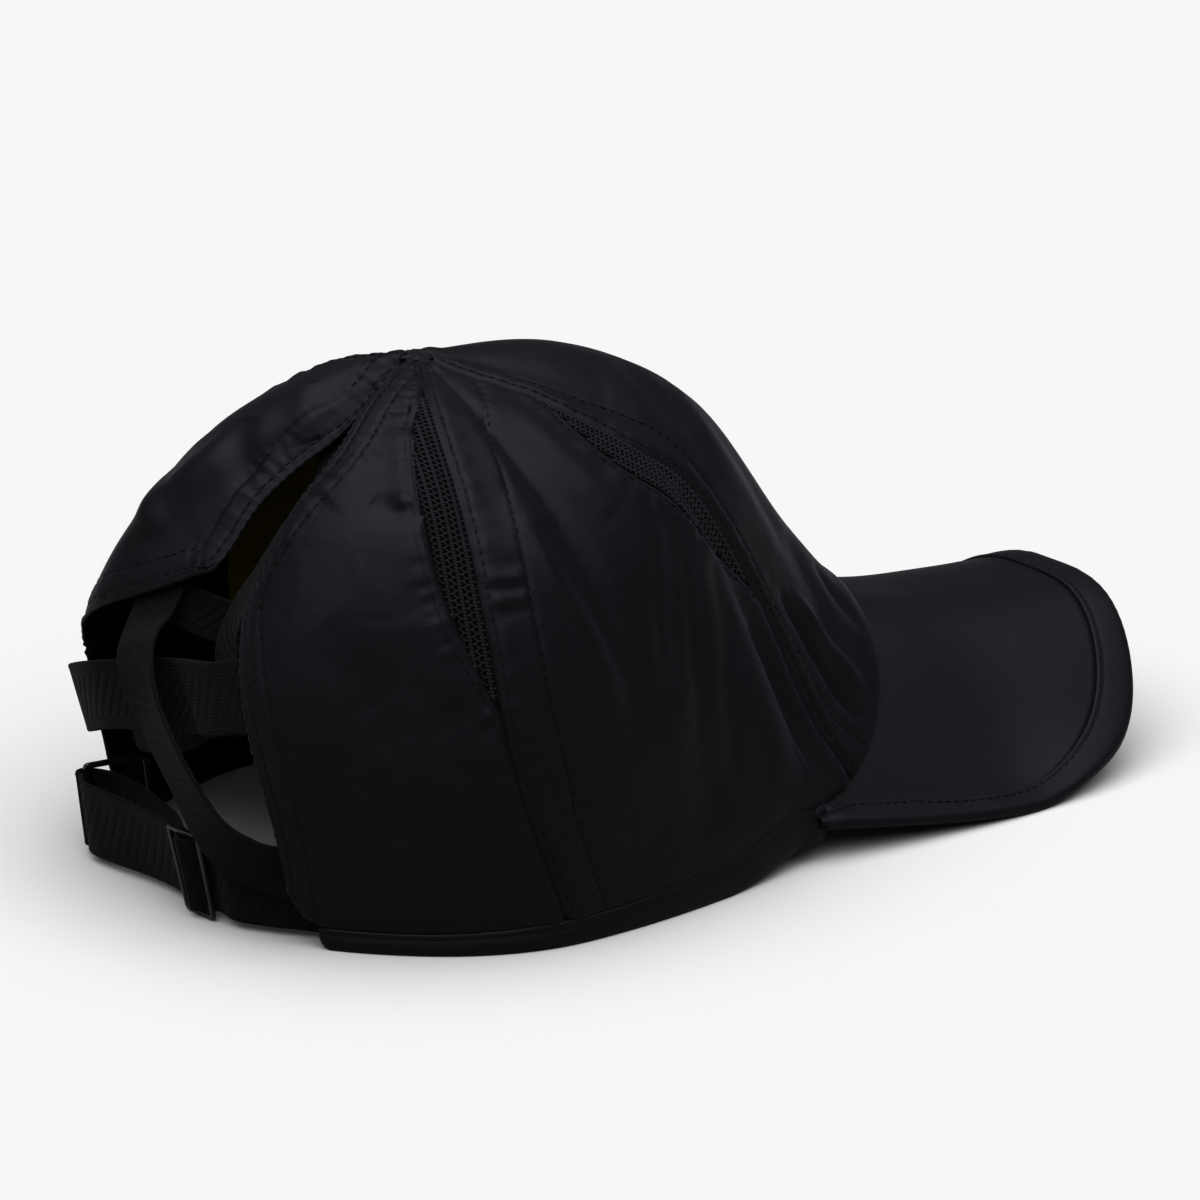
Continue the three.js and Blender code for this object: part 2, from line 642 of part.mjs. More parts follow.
// The low strap in plan, with off measured from the hem: from the right panel to the slider, from the
// slider round the ring, and back behind the first layer.
const LOW_RIGHT = [
  { angle: 222, off: -1.3 },
  { angle: 213, off: -1.25 },
  { angle: 206.5, off: -0.7 },
  { angle: 200, off: -0.1 },
];
const LOW_OUTER = [
  { angle: 179, off: -0.65 },
  { angle: 170, off: -0.35 },
  { angle: 161, off: 0.7 },
  { angle: 155, off: 1.6 },
];
const LOW_INNER = [
  { angle: 151, off: -0.1 },
  { angle: 160, off: -1.6 },
  { angle: 171, off: -1.9 },
  { angle: 179, off: -1.6 },
];
const RING_SPOT = { angle: 150.5, off: 1.3, turn: -3 };

// The low strap and its fittings lean outwards with height: across is a share of the crown's half
// width, towards the wearer's left, and lean is in degrees.
const FLARE = [
  { across: -0.45, lean: 0 },
  { across: -0.25, lean: 11 },
  { across: 0.15, lean: 11 },
  { across: 0.4, lean: 6 },
  { across: 0.7, lean: 5 },
];

const lowMiddle = SLIDER.floor + SLIDER.height / 2;
const lowPoint = ({ angle, off }) => planPoint(angle, hemReach(angle) + off * CROWN.slack, lowMiddle);

// Millimetres along the strap and outwards from the middle of the slider
function sliderPoint(onwards, outwards) {
  const turned = SLIDER.angle * DEGREE;
  const ahead = new THREE.Vector3(-Math.cos(turned), -Math.sin(turned), 0);
  return lowPoint(SLIDER).addScaledVector(ahead, onwards).add(planPoint(SLIDER.angle, outwards));
}

function lowStrap() {
  const pitch = (SLIDER.width - SLIDER.bar) / 2;
  const beside = (SLIDER.bar + STRAP.wall) / 2 + STRAP.loose;
  const layer = STRAP.wall + STRAP.gap;
  const round = (RING.bar + STRAP.wall) / 2 + STRAP.loose;
  const turns = [120, 75, 30, -15, -60].map((turn) => {
    const aside = new THREE.Vector3(Math.cos(turn * DEGREE), Math.sin(turn * DEGREE), 0);
    return lowPoint(RING_SPOT).addScaledVector(aside, round);
  });
  const points = [
    ...LOW_RIGHT.map(lowPoint),
    sliderPoint(-pitch, -beside),
    sliderPoint(0, beside),
    sliderPoint(pitch, -beside),
    ...LOW_OUTER.map(lowPoint),
    ...turns,
    ...LOW_INNER.map(lowPoint),
    sliderPoint(pitch, -beside - layer),
    sliderPoint(-SLIDER.bar / 2, -beside - STRAP.gap),
  ];
  add("strap_low", flared(ribbonInPlan(points, STRAP.lowWidth, 110)), elastic);
}

function flared(geometry) {
  const position = geometry.getAttribute("position");
  for (let k = 0; k < position.count; k++) {
    const point = new THREE.Vector3().fromBufferAttribute(position, k);
    const outwards = new THREE.Vector3(point.x, point.y, 0).normalize();
    const lean = along(FLARE, "across", "lean", point.x / CROWN.halfWidth) * DEGREE;
    point.addScaledVector(outwards, (point.z - lowMiddle) * Math.tan(lean));
    position.setXYZ(k, point.x, point.y, point.z);
  }
  return geometry;
}

// A strap that stands upright along a curve in plan
function ribbonInPlan(points, width, steps) {
  const curve = new THREE.CatmullRomCurve3(points, false, "centripetal");
  const rings = [];
  for (let k = 0; k <= steps; k++) {
    const centre = curve.getPoint(k / steps);
    const ahead = curve.getTangent(k / steps);
    const thick = new THREE.Vector3(-ahead.y, ahead.x, 0).multiplyScalar(STRAP.wall / 2);
    const corner = (w, t) => centre.clone().addScaledVector(thick, t).setZ(centre.z + (w * width) / 2);
    rings.push([corner(-1, -1), corner(-1, 1), corner(1, 1), corner(1, -1)]);
  }
  return sweep(rings);
}

const wasm = await Module();
wasm.setup();

// A flat frame with rounded corners and upright bars, centred on its own middle and standing upright
function barFrame({ width, height, bar, windows, middle, ahead }) {
  const corner = bar;
  const blank = [width - 2 * corner, height - 2 * corner];
  let outline = wasm.CrossSection.square(blank, true).offset(corner, "Round", 2, 12);
  const opening = (width - (windows + 1) * bar) / windows;
  for (let k = 0; k < windows; k++) {
    const at = (k - (windows - 1) / 2) * (opening + bar);
    const gap = wasm.CrossSection.square([opening, height - 2 * bar], true);
    outline = outline.subtract(gap.translate([at, 0]));
  }
  const mesh = outline.extrude(bar).translate([0, 0, -bar / 2]).getMesh();
  const geometry = new THREE.BufferGeometry();
  geometry.setAttribute("position", new THREE.Float32BufferAttribute(mesh.vertProperties, mesh.numProp));
  geometry.setIndex([...mesh.triVerts]);
  const up = new THREE.Vector3(0, 0, 1);
  const basis = new THREE.Matrix4().makeBasis(ahead, up, ahead.clone().cross(up));
  geometry.applyMatrix4(basis.setPosition(middle));
  return flared(geometry);
}

function slider() {
  const middle = sliderPoint(0, 0);
  const ahead = sliderPoint(1, 0).sub(middle);
  add("slider", barFrame({ ...SLIDER, windows: 2, middle, ahead }), gloss);
}

function strapRing() {
  const ahead = planPoint(RING_SPOT.turn, 1);
  const middle = lowPoint(RING_SPOT).addScaledVector(ahead, RING.reach / 2);
  add("strap_ring", barFrame({ ...RING, width: RING.reach + RING.bar, windows: 1, middle, ahead }), gloss);
}

frontPanel();
sidePanel(-1, "panel_side_right");
sidePanel(1, "panel_side_left");
rearPanel(-1, "panel_rear_right", RIGHT_EDGE);
rearPanel(1, "panel_rear_left", LEFT_EDGE);
for (const [side, label] of [
  [-1, "right"],
  [1, "left"],
]) {
  meshInset(side, "mesh_front_" + label, frontSeam, FRONT_INSET, 1);
  meshInset(side, "mesh_rear_" + label, rearSeam, REAR_INSET, 1);
  hemBinding(side, "hem_binding_" + label);
}
liningPanel();
crownTack();
brimBoard();
brimBinding();
strap("strap_cross_left", CROSS_LEFT, STRAP.crossWidth, 22);
strap("strap_cross_right", CROSS_RIGHT, STRAP.crossWidth, 26);
strap("strap_upper", UPPER, STRAP.upperWidth, 14);
strap("strap_mid_left", MID_LEFT, STRAP.midWidth, 26);
strap("strap_mid_right", MID_RIGHT, STRAP.midWidth, 12, 0.75);
lowStrap();
slider();
strapRing();

// The origin goes under the middle of the bounding box.
const bounds = new THREE.Box3().setFromObject(cap);
const middle = bounds.getCenter(new THREE.Vector3());
cap.position.set(-middle.x, -middle.y, -bounds.min.z);

export default cap;
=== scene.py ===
"""A soft running cap with an open back for a ponytail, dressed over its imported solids."""
import math

import bmesh
import bpy
import numpy as np
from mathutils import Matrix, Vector, kdtree
from mathutils.bvhtree import BVHTree


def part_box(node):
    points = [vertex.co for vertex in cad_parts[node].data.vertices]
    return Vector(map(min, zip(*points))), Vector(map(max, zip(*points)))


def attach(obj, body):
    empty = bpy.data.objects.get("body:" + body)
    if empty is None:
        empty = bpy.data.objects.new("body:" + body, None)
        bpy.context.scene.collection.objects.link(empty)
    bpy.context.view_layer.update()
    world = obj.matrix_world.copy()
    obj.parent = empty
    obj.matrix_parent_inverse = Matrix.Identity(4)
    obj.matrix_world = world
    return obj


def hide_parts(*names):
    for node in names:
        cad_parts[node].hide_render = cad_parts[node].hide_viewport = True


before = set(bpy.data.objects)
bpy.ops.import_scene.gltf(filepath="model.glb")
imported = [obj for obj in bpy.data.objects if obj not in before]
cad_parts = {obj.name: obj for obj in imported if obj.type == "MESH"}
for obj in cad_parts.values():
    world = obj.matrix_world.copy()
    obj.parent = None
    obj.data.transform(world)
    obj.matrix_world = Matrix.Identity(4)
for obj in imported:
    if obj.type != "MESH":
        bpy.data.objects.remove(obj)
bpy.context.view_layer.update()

# Backdrop, light and camera: a pale sweep under one wide overhead softbox, as in a product shot.
# The camera stands behind the wearer's right shoulder, with a long lens.
floor_mesh = bpy.data.meshes.new("floor")
floor_mesh.from_pydata([(-6, -6, 0), (6, -6, 0), (6, 6, 0), (-6, 6, 0)], [], [(0, 1, 2, 3)])
floor = bpy.data.objects.new("floor", floor_mesh)
bpy.context.collection.objects.link(floor)
paper = bpy.data.materials.new("paper_sweep")
paper.use_nodes = True
paper_shader = paper.node_tree.nodes["Principled BSDF"]
paper_shader.inputs["Base Color"].default_value = (0.3, 0.299, 0.298, 1)
paper_shader.inputs["Roughness"].default_value = 0.9
floor_mesh.materials.append(paper)

# the light that the surroundings give, and what is added to it where the camera sees them
SURROUNDINGS = {"light": 0.2, "paler": 0.75}
world = bpy.data.worlds.new("studio")
world.use_nodes = True
world.node_tree.nodes["Background"].inputs["Color"].default_value = (1, 1, 1, 1)
world_nodes, world_links = world.node_tree.nodes, world.node_tree.links
seen = world_nodes.new("ShaderNodeLightPath")
strength = world_nodes.new("ShaderNodeMath")
strength.operation = "MULTIPLY_ADD"
strength.inputs[1].default_value = SURROUNDINGS["paler"]
strength.inputs[2].default_value = SURROUNDINGS["light"]
world_links.new(seen.outputs["Is Camera Ray"], strength.inputs[0])
world_links.new(strength.outputs[0], world_nodes["Background"].inputs["Strength"])
bpy.context.scene.world = world
bpy.context.scene.view_settings.view_transform = "Standard"
bpy.context.scene.view_settings.gamma = 0.72

tack_low, tack_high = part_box("crown_tack")
axis = (tack_low + tack_high) / 2
sight = Vector((-0.055, axis.y - 0.0143, 0.0727))
eye = Vector((-0.7749, axis.y + 0.4531, 0.3433))

softbox_data = bpy.data.lights.new("softbox", "SUN")
softbox_data.energy = 9.3
softbox_data.angle = math.radians(94)
softbox = bpy.data.objects.new("softbox", softbox_data)
softbox.location = (-0.4, 0.3, 1.6)
softbox.rotation_euler = Vector((-0.217, 0.141, 0.966)).to_track_quat("Z", "Y").to_euler()
bpy.context.collection.objects.link(softbox)

camera_data = bpy.data.cameras.new("camera")
camera_data.sensor_width = 36
camera_data.lens = 121.5
camera_data.clip_start = 0.05
camera = bpy.data.objects.new("camera", camera_data)
camera.location = eye
camera.rotation_euler = (eye - sight).to_track_quat("Z", "Y").to_euler()
bpy.context.collection.objects.link(camera)
bpy.context.scene.camera = camera

# Front panel: one piece of thin woven cloth from the brim's seam to the top, over the forehead.
# It brings the crown's own curved surface, which the other panels, the mesh and the straps share:
# angles run round from the front towards the wearer's left, level is 0 at the top and 1 at the hem.
MM = 0.001
CROWN = {
    "height": 120,
    "half_width": 73,
    "front_reach": 116.5,
    "rear_reach": 67,
    "wall": 1.2,
    "slack": 4,
}
BRIM = {
    "length": 75,
    "half_width": 63.5,
    "height": 45,
    "board": 3,
    "border": 10,
    "root_angle": 40,
    "tuck": 3,
    "seat": 1.1,
    "least_board": 0.4,
}
HEM = {
    "height": 5,
    "wall": 2.2,
    "proud": 0.3,
    "gap": 0.65,
    "corner": 9,
    "set_back": 6.3,
    "inset": 0.4,
}
LEFT_BULGE = {"angle": 150, "spread": 28, "hem": 0.06, "wall": 0.02, "crown": -0.05}
# angle, reach, then out and up at a quarter, half and three quarters of the way down
RIBS = np.array(
    [
        (0, 1, 0.34, 0.955, 0.61, 0.75, 0.81, 0.3),
        (20, 1.05, 0.32, 0.94, 0.6, 0.74, 0.83, 0.32),
        (35, 1.03, 0.33, 0.92, 0.63, 0.73, 0.86, 0.35),
        (60, 1, 0.4, 0.91, 0.74, 0.7, 0.94, 0.36),
        (95, 1, 0.42, 0.92, 0.79, 0.71, 0.98, 0.37),
        (125, 0.98, 0.44, 0.93, 0.83, 0.74, 1.02, 0.4),
        (150, 1, 0.43, 0.92, 0.82, 0.74, 1.06, 0.41),
        (165, 1, 0.4, 0.87, 0.74, 0.69, 1.02, 0.41),
        (180, 1, 0.36, 0.84, 0.67, 0.68, 0.95, 0.42),
    ]
)
# along the brim, crest and drop as shares of its height
BRIM_ARCH = np.array(
    [
        (-0.65, 1, 0.73),
        (-0.2, 0.99, 0.835),
        (0.05, 0.96, 0.86),
        (0.3, 0.9, 0.83),
        (0.55, 0.87, 0.735),
        (0.8, 0.855, 0.69),
        (1, 0.87, 0.69),
    ]
)
ARCH_POWER = 3.4
# angle, rise as a share of the brim root's height, height as a share of the hem's
HEM_LINE = np.array(
    [
        (40, 1, 1.7),
        (43, 1.2, 1.95),
        (46, 0.95, 2.15),
        (52, 0.35, 2.15),
        (58, 0, 1.95),
        (66, 0, 1.6),
        (80, 0, 1.3),
        (100, 0, 1.15),
        (120, 0, 1),
        (150, 0, 1),
    ]
)
# angle, level, how wide and long as shares of the crown's height, turn, depth as a share of the slack
FOLDS = [
    (-84, 0.42, 0.05, 0.3, 20, -0.45),
    (-66, 0.62, 0.08, 0.32, 35, -0.5),
    (-122, 0.5, 0.09, 0.4, -12, 0.5),
    (-134, 0.82, 0.08, 0.26, -30, -0.45),
    (-38, 0.8, 0.06, 0.22, 10, -0.6),
    (75, 0.5, 0.08, 0.35, -25, -0.5),
    (128, 0.55, 0.08, 0.35, 18, -0.5),
    (156, 0.42, 0.06, 0.25, -20, 0.5),
    (12, 0.72, 0.07, 0.3, 30, -0.35),
]
# levels over which the folds fade out at the top and at the hem
FOLD_FADE = {"top": 0.15, "hem": 0.12}
# level and angle, from the top down
FRONT_SEAM = np.array(
    [(0, 70), (0.1, 62), (0.2, 53), (0.4, 42), (0.5, 36), (0.65, 34.5), (0.85, 34), (1, 31)]
)
# the last share of the way down, where the outward direction turns level, and the panels' first level
UPRIGHT = 0.1
TOP_LEVEL = 0.012


def between(t, start, leaving, end, arriving):
    """Smooth way from one value to the next as t runs from 0 to 1, with the slope at each."""
    return (
        (2 * t**3 - 3 * t**2 + 1) * start
        + (t**3 - 2 * t**2 + t) * leaving
        + (3 * t**2 - 2 * t**3) * end
        + (t**3 - t**2) * arriving
    )


def along(table, column, at, level_ends=False):
    """Smooth curve through the rows of one column, read at some keys of the first column."""
    keys, values = table[:, 0], table[:, column]
    at = np.clip(at, keys[0], keys[-1])
    i = np.searchsorted(keys[1:-1], at, side="left")
    slopes = np.zeros(len(keys))
    slopes[1:-1] = (values[2:] - values[:-2]) / (keys[2:] - keys[:-2])
    if not level_ends:
        slopes[0] = (values[1] - values[0]) / (keys[1] - keys[0])
        slopes[-1] = (values[-1] - values[-2]) / (keys[-1] - keys[-2])
    span = keys[i + 1] - keys[i]
    t = (at - keys[i]) / span
    return between(t, values[i], span * slopes[i], values[i + 1], span * slopes[i + 1])


def smoothstep(value, start=0.0, end=1.0):
    t = np.clip((value - start) / (end - start), 0, 1)
    return t * t * (3 - 2 * t)


def rib(column, angle):
    return along(RIBS, column, np.abs((angle + 180) % 360 - 180), level_ends=True)


def left_bulge(angle):
    """1 in the middle of the left side's slight bulge, falling off round it."""
    away = (angle % 360 - LEFT_BULGE["angle"]) / LEFT_BULGE["spread"]
    return np.exp(-(away**2))


def hem_reach(angle):
    sine, cosine = np.sin(np.radians(angle)), np.cos(np.radians(angle))
    lengthwise = np.where(cosine > 0, CROWN["front_reach"], CROWN["rear_reach"])
    oval = 1 / np.hypot(sine / CROWN["half_width"], cosine / lengthwise)
    return oval * (rib(1, angle) + LEFT_BULGE["hem"] * left_bulge(angle))


def plan_point(angle, distance, height):
    turned = np.radians(angle)
    spots = np.broadcast_arrays(distance * np.sin(turned), -distance * np.cos(turned), height)
    return np.stack(spots, axis=-1).astype(float)


def brim_height(x, y):
    part = (-y - CROWN["front_reach"]) / BRIM["length"]
    across = np.minimum(np.abs(x) / BRIM["half_width"], 1)
    arch = np.sin(across * math.pi / 2) ** ARCH_POWER
    return BRIM["height"] * (along(BRIM_ARCH, 1, part) - along(BRIM_ARCH, 2, part) * arch)


def hem_tall(angle):
    return HEM["height"] * along(HEM_LINE, 2, np.abs(angle))


root_point = plan_point(BRIM["root_angle"], hem_reach(BRIM["root_angle"]), 0)
root_rise = brim_height(root_point[0], root_point[1]) - hem_tall(BRIM["root_angle"])


def hem_floor(angle):
    return root_rise * np.maximum(along(HEM_LINE, 1, np.abs(angle)), 0)


def lower_edge(angle):
    inside = plan_point(angle, hem_reach(angle) - CROWN["wall"] - HEM["inset"], 0)
    on_brim = brim_height(inside[..., 0], inside[..., 1]) + BRIM["seat"]
    on_binding = hem_floor(angle) + hem_tall(angle) + HEM["gap"]
    return np.where(np.abs(angle) < BRIM["root_angle"], on_brim, on_binding)


def through_stations(values, level):
    """Smooth curve through values that are spread evenly from the top to the hem."""
    values = np.stack(np.broadcast_arrays(*values, level)[:-1])
    slopes = np.empty_like(values)
    slopes[1:-1] = (values[2:] - values[:-2]) / 2
    slopes[0] = values[1] - values[0]
    slopes[-1] = values[-1] - values[-2]
    steps = len(values) - 1
    i = np.clip((level * steps).astype(int), 0, steps - 1)

    def pick(rows, k):
        return np.take_along_axis(rows, k[None], axis=0)[0]

    t = level * steps - i
    return between(t, pick(values, i), pick(slopes, i), pick(values, i + 1), pick(slopes, i + 1))


def smooth_crown(angle, level):
    """Points of the crown's outer surface before its folds, in millimetres round its axis."""
    angle, level = np.broadcast_arrays(np.asarray(angle, float), np.asarray(level, float))
    low = lower_edge(angle)
    bulge = left_bulge(angle)
    nothing, whole = np.zeros_like(angle), np.ones_like(angle)
    reaches = [
        nothing,
        rib(2, angle) + LEFT_BULGE["crown"] * bulge,
        rib(4, angle) + LEFT_BULGE["crown"] * bulge,
        rib(6, angle) + LEFT_BULGE["wall"] * bulge,
        whole,
    ]
    out = through_stations(reaches, level)
    up = through_stations([whole, rib(3, angle), rib(5, angle), rib(7, angle), nothing], level)
    return plan_point(angle, out * hem_reach(angle), low + (CROWN["height"] - low) * up)


def unit(vectors):
    return vectors / np.maximum(np.linalg.norm(vectors, axis=-1, keepdims=True), 1e-9)


def crown_normal(angle, level):
    upper = smooth_crown(angle, np.maximum(level - 0.004, 0.01))
    lower = smooth_crown(angle, np.minimum(level + 0.004, 1))
    before = smooth_crown(angle - 1, np.maximum(level, 0.02))
    after = smooth_crown(angle + 1, np.maximum(level, 0.02))
    normal = unit(np.cross(after - before, upper - lower))
    normal[..., 2] *= smoothstep(1 - level, 0, UPRIGHT)
    return unit(normal)


def fold_depth(angle, level):
    around = np.radians(hem_reach(angle)) / CROWN["height"]
    fade = smoothstep(level, 0, FOLD_FADE["top"]) * smoothstep(1 - level, 0, FOLD_FADE["hem"])
    depth = np.zeros(np.broadcast(angle, level).shape)
    for at, down_at, wide, long, turn, share in FOLDS:
        side = ((angle - at + 180) % 360 - 180) * around
        down = level - down_at
        sine, cosine = math.sin(math.radians(turn)), math.cos(math.radians(turn))
        across = (side * cosine - down * sine) / wide
        lengthwise = (side * sine + down * cosine) / long
        depth += share * CROWN["slack"] * fade * np.exp(-(across**2) - lengthwise**2)
    return depth


def crown_point(angle, level, lift=0.0):
    """Points of the crown, lifted off its outer surface by a distance in millimetres."""
    angle, level = np.broadcast_arrays(np.asarray(angle, float), np.asarray(level, float))
    height = lift + fold_depth(angle, level)
    return smooth_crown(angle, level) + crown_normal(angle, level) * np.asarray(height)[..., None]


def turn_for(angle, level, millimetres):
    """Angle that a distance takes at this level."""
    spot = smooth_crown(angle, level)
    return np.degrees(millimetres / np.hypot(spot[..., 0], spot[..., 1]))


def run_along(points):
    """Running length along a line of points."""
    return np.concatenate([[0], np.cumsum(np.linalg.norm(np.diff(points, axis=0), axis=1))])


class Line:
    """A line on the crown, kept as close-set angles, levels and points, with its run from one end."""

    def __init__(self, angles, levels, spacing=0.3):
        count = len(angles)
        table = np.column_stack([np.linspace(0, 1, count), angles, levels])
        part = np.linspace(0, 1, 600)
        points = smooth_crown(along(table, 1, part), along(table, 2, part))
        run = run_along(points)
        part = np.interp(np.arange(0, run[-1], spacing), run, part)
        self.angles, self.levels = along(table, 1, part), along(table, 2, part)
        self.points = smooth_crown(self.angles, self.levels)
        self.run = np.arange(len(part)) * spacing
        self.length = self.run[-1]
        self.tree = kdtree.KDTree(len(part))
        for k, point in enumerate(self.points):
            self.tree.insert(point, k)
        self.tree.balance()

    def near(self, points):
        """Distance from each point to the line, and how far along the line it lies."""
        found = [self.tree.find(point) for point in points.reshape(-1, 3)]
        distance = np.array([hit[2] for hit in found]).reshape(points.shape[:-1])
        run = self.run[[hit[1] for hit in found]].reshape(points.shape[:-1])
        return distance, run

    def beside(self, millimetres):
        """The line moved over the crown by a distance, to its left as seen from outside."""
        ahead = unit(np.gradient(self.points, axis=0))
        side = unit(np.cross(crown_normal(self.angles, self.levels), ahead)) * millimetres
        low, high = np.maximum(self.levels - 0.002, 0), np.minimum(self.levels + 0.002, 1)
        down = smooth_crown(self.angles, high) - smooth_crown(self.angles, low)
        by_level = down / (high - low)[:, None]
        behind, beyond = (smooth_crown(self.angles + step, self.levels) for step in (-0.5, 0.5))
        by_angle = beyond - behind
        g11, g12, g22 = (by_angle**2).sum(1), (by_angle * by_level).sum(1), (by_level**2).sum(1)
        r1, r2 = (side * by_angle).sum(1), (side * by_level).sum(1)
        det = g11 * g22 - g12**2
        return Line(
            self.angles + (r1 * g22 - r2 * g12) / det,
            np.clip(self.levels + (r2 * g11 - r1 * g12) / det, 0.01, 1),
        )


def seam_line(table, side, start=TOP_LEVEL, end=1.0, aside=0.0):
    """A seam's line on one side of the cap, or a line that keeps a distance from it."""
    level = np.linspace(start, end, 60)
    angle = along(table, 1, level)
    return Line(side * (angle + turn_for(side * angle, level, aside)), level)


# shares of the wall at which a rounded edge has its rings of points
EDGE_RINGS = (0.18, 0.5, 0.82)


def shell(name, points, wall, uv, material):
    """A closed sheet of cloth from a grid of outer points, with rounded edges, in the row frame."""
    rows, columns = points.shape[:2]
    normals = unit(np.cross(np.gradient(points, axis=1), np.gradient(points, axis=0)))
    if (normals * (points - points.mean(axis=(0, 1)) * (0, 0, 0.3))).sum() < 0:
        normals = -normals
    grid = np.arange(rows * columns).reshape(rows, columns)
    loop = np.concatenate([grid[0], grid[1:, -1], grid[-1, -2::-1], grid[-2:0:-1, 0]])
    flat, flat_normals = points.reshape(-1, 3), normals.reshape(-1, 3)
    rim, rim_normals = flat[loop], flat_normals[loop]
    ahead = unit(np.roll(rim, -1, axis=0) - np.roll(rim, 1, axis=0))
    out = unit(np.cross(ahead, rim_normals))
    inward = np.concatenate([grid[1], grid[1:, -2], grid[-2, -2::-1], grid[-2:0:-1, 1]])
    out *= np.sign(((rim - flat[inward]) * out).sum())
    rings = []
    for t in EDGE_RINGS:
        rings.append(rim + out * (0.5 * wall * math.sin(math.pi * t)) - rim_normals * (wall * t))
    cloud = np.concatenate([flat, flat - flat_normals * wall, *rings])
    corners = [grid[:-1, :-1], grid[1:, :-1], grid[1:, 1:], grid[:-1, 1:]]
    quads = np.stack(corners, axis=-1).reshape(-1, 4)
    first = 2 * rows * columns
    bands = [loop]
    for k in range(len(rings)):
        bands.append(first + k * len(loop) + np.arange(len(loop)))
    bands.append(loop + rows * columns)
    strips = []
    for a, b in zip(bands, bands[1:]):
        strips.append(np.stack([a, np.roll(a, -1), np.roll(b, -1), b], axis=-1))
    faces = np.concatenate([quads, quads[:, ::-1] + rows * columns, *strips])
    flat_uv = uv.reshape(-1, 2)
    per_point = np.concatenate([flat_uv, flat_uv, *[flat_uv[loop]] * len(rings)])
    return solid(name, cloud, faces, per_point, material)


def solid(name, points, faces, uv, material):
    """A smooth closed mesh from points in millimetres round the crown's axis, faces turned outwards."""
    mesh = bpy.data.meshes.new(name)
    mesh.from_pydata((points * MM + (axis.x, axis.y, 0)).tolist(), [], [list(face) for face in faces])
    work = bmesh.new()
    work.from_mesh(mesh)
    bmesh.ops.recalc_face_normals(work, faces=work.faces)
    if work.calc_volume(signed=True) < 0:
        bmesh.ops.reverse_faces(work, faces=work.faces)
    work.to_mesh(mesh)
    work.free()
    layer = mesh.uv_layers.new(name="cloth")
    corners = np.empty(len(mesh.loops), dtype=int)
    mesh.loops.foreach_get("vertex_index", corners)
    layer.data.foreach_set("uv", np.asarray(uv, float)[corners].ravel())
    mesh.polygons.foreach_set("use_smooth", np.ones(len(mesh.polygons), dtype=bool))
    mesh.materials.append(material)
    piece = bpy.data.objects.new(name, mesh)
    bpy.context.collection.objects.link(piece)
    return piece


def woven_cloth(name, dark, light, roughness, sheen, gleam=0.14, rumpled=0.5):
    """Filament cloth: a tight plain weave, a faint mottle that rumples it and is painted as mottled sheen
    into its colour, soft sheen.
    """
    material = bpy.data.materials.new(name)
    material.use_nodes = True
    nodes, links = material.node_tree.nodes, material.node_tree.links
    shader = nodes["Principled BSDF"]
    shader.inputs["Roughness"].default_value = roughness
    shader.inputs["Sheen Weight"].default_value = sheen
    shader.inputs["Sheen Roughness"].default_value = 0.35
    shader.inputs["Sheen Tint"].default_value = (0.75, 0.76, 1, 1)
    shader.inputs["Specular IOR Level"].default_value = gleam
    shader.inputs["Specular Tint"].default_value = (0.9, 0.91, 1, 1)
    place = nodes.new("ShaderNodeTexCoord")
    rumple_and_sheen_mottle = nodes.new("ShaderNodeTexNoise")
    rumple_and_sheen_mottle.inputs["Scale"].default_value = 62
    rumple_and_sheen_mottle.inputs["Detail"].default_value = 2.5
    rumple_and_sheen_mottle.inputs["Distortion"].default_value = 0.3
    links.new(place.outputs["Object"], rumple_and_sheen_mottle.inputs["Vector"])
    # the mottle also mixes the base colour between its dark and light tones: a painted mottled sheen
    blend = nodes.new("ShaderNodeMix")
    blend.data_type = "RGBA"
    blend.inputs[6].default_value = (*dark, 1)
    blend.inputs[7].default_value = (*light, 1)
    links.new(rumple_and_sheen_mottle.outputs["Fac"], blend.inputs[0])
    links.new(blend.outputs[2], shader.inputs["Base Color"])
    threads = []
    for direction in ("X", "Y"):
        wave = nodes.new("ShaderNodeTexWave")
        wave.bands_direction = direction
        wave.inputs["Scale"].default_value = 8
        wave.inputs["Distortion"].default_value = 0.8
        wave.inputs["Detail Scale"].default_value = 3
        links.new(place.outputs["UV"], wave.inputs["Vector"])
        threads.append(wave)
    weave = nodes.new("ShaderNodeMath")
    weave.operation = "MULTIPLY"
    links.new(threads[0].outputs["Fac"], weave.inputs[0])
    links.new(threads[1].outputs["Fac"], weave.inputs[1])
    rumple = nodes.new("ShaderNodeBump")
    rumple.inputs["Strength"].default_value = rumpled
    rumple.inputs["Distance"].default_value = 0.0019
    links.new(rumple_and_sheen_mottle.outputs["Fac"], rumple.inputs["Height"])
    grain = nodes.new("ShaderNodeBump")
    grain.inputs["Strength"].default_value = 0.3
    grain.inputs["Distance"].default_value = 0.00012
    links.new(weave.outputs[0], grain.inputs["Height"])
    links.new(rumple.outputs[0], grain.inputs["Normal"])
    links.new(grain.outputs[0], shader.inputs["Normal"])
    return material


# the crown cloth's two tones, between which its painted sheen mottle runs
cloth = woven_cloth(
    "crown_cloth", (0.003, 0.003, 0.0042), (0.005, 0.005, 0.007), roughness=0.48, sheen=0.04
)
CREASE_DEPTH = 1.4
# a row of stitches pulls the cloth in and puckers it, each to a depth and over a width, at a pitch
ROW = {"pull": 0.3, "pulled": 0.75, "pucker": 0.1, "puckered": 2.2, "pitch": 2.6}
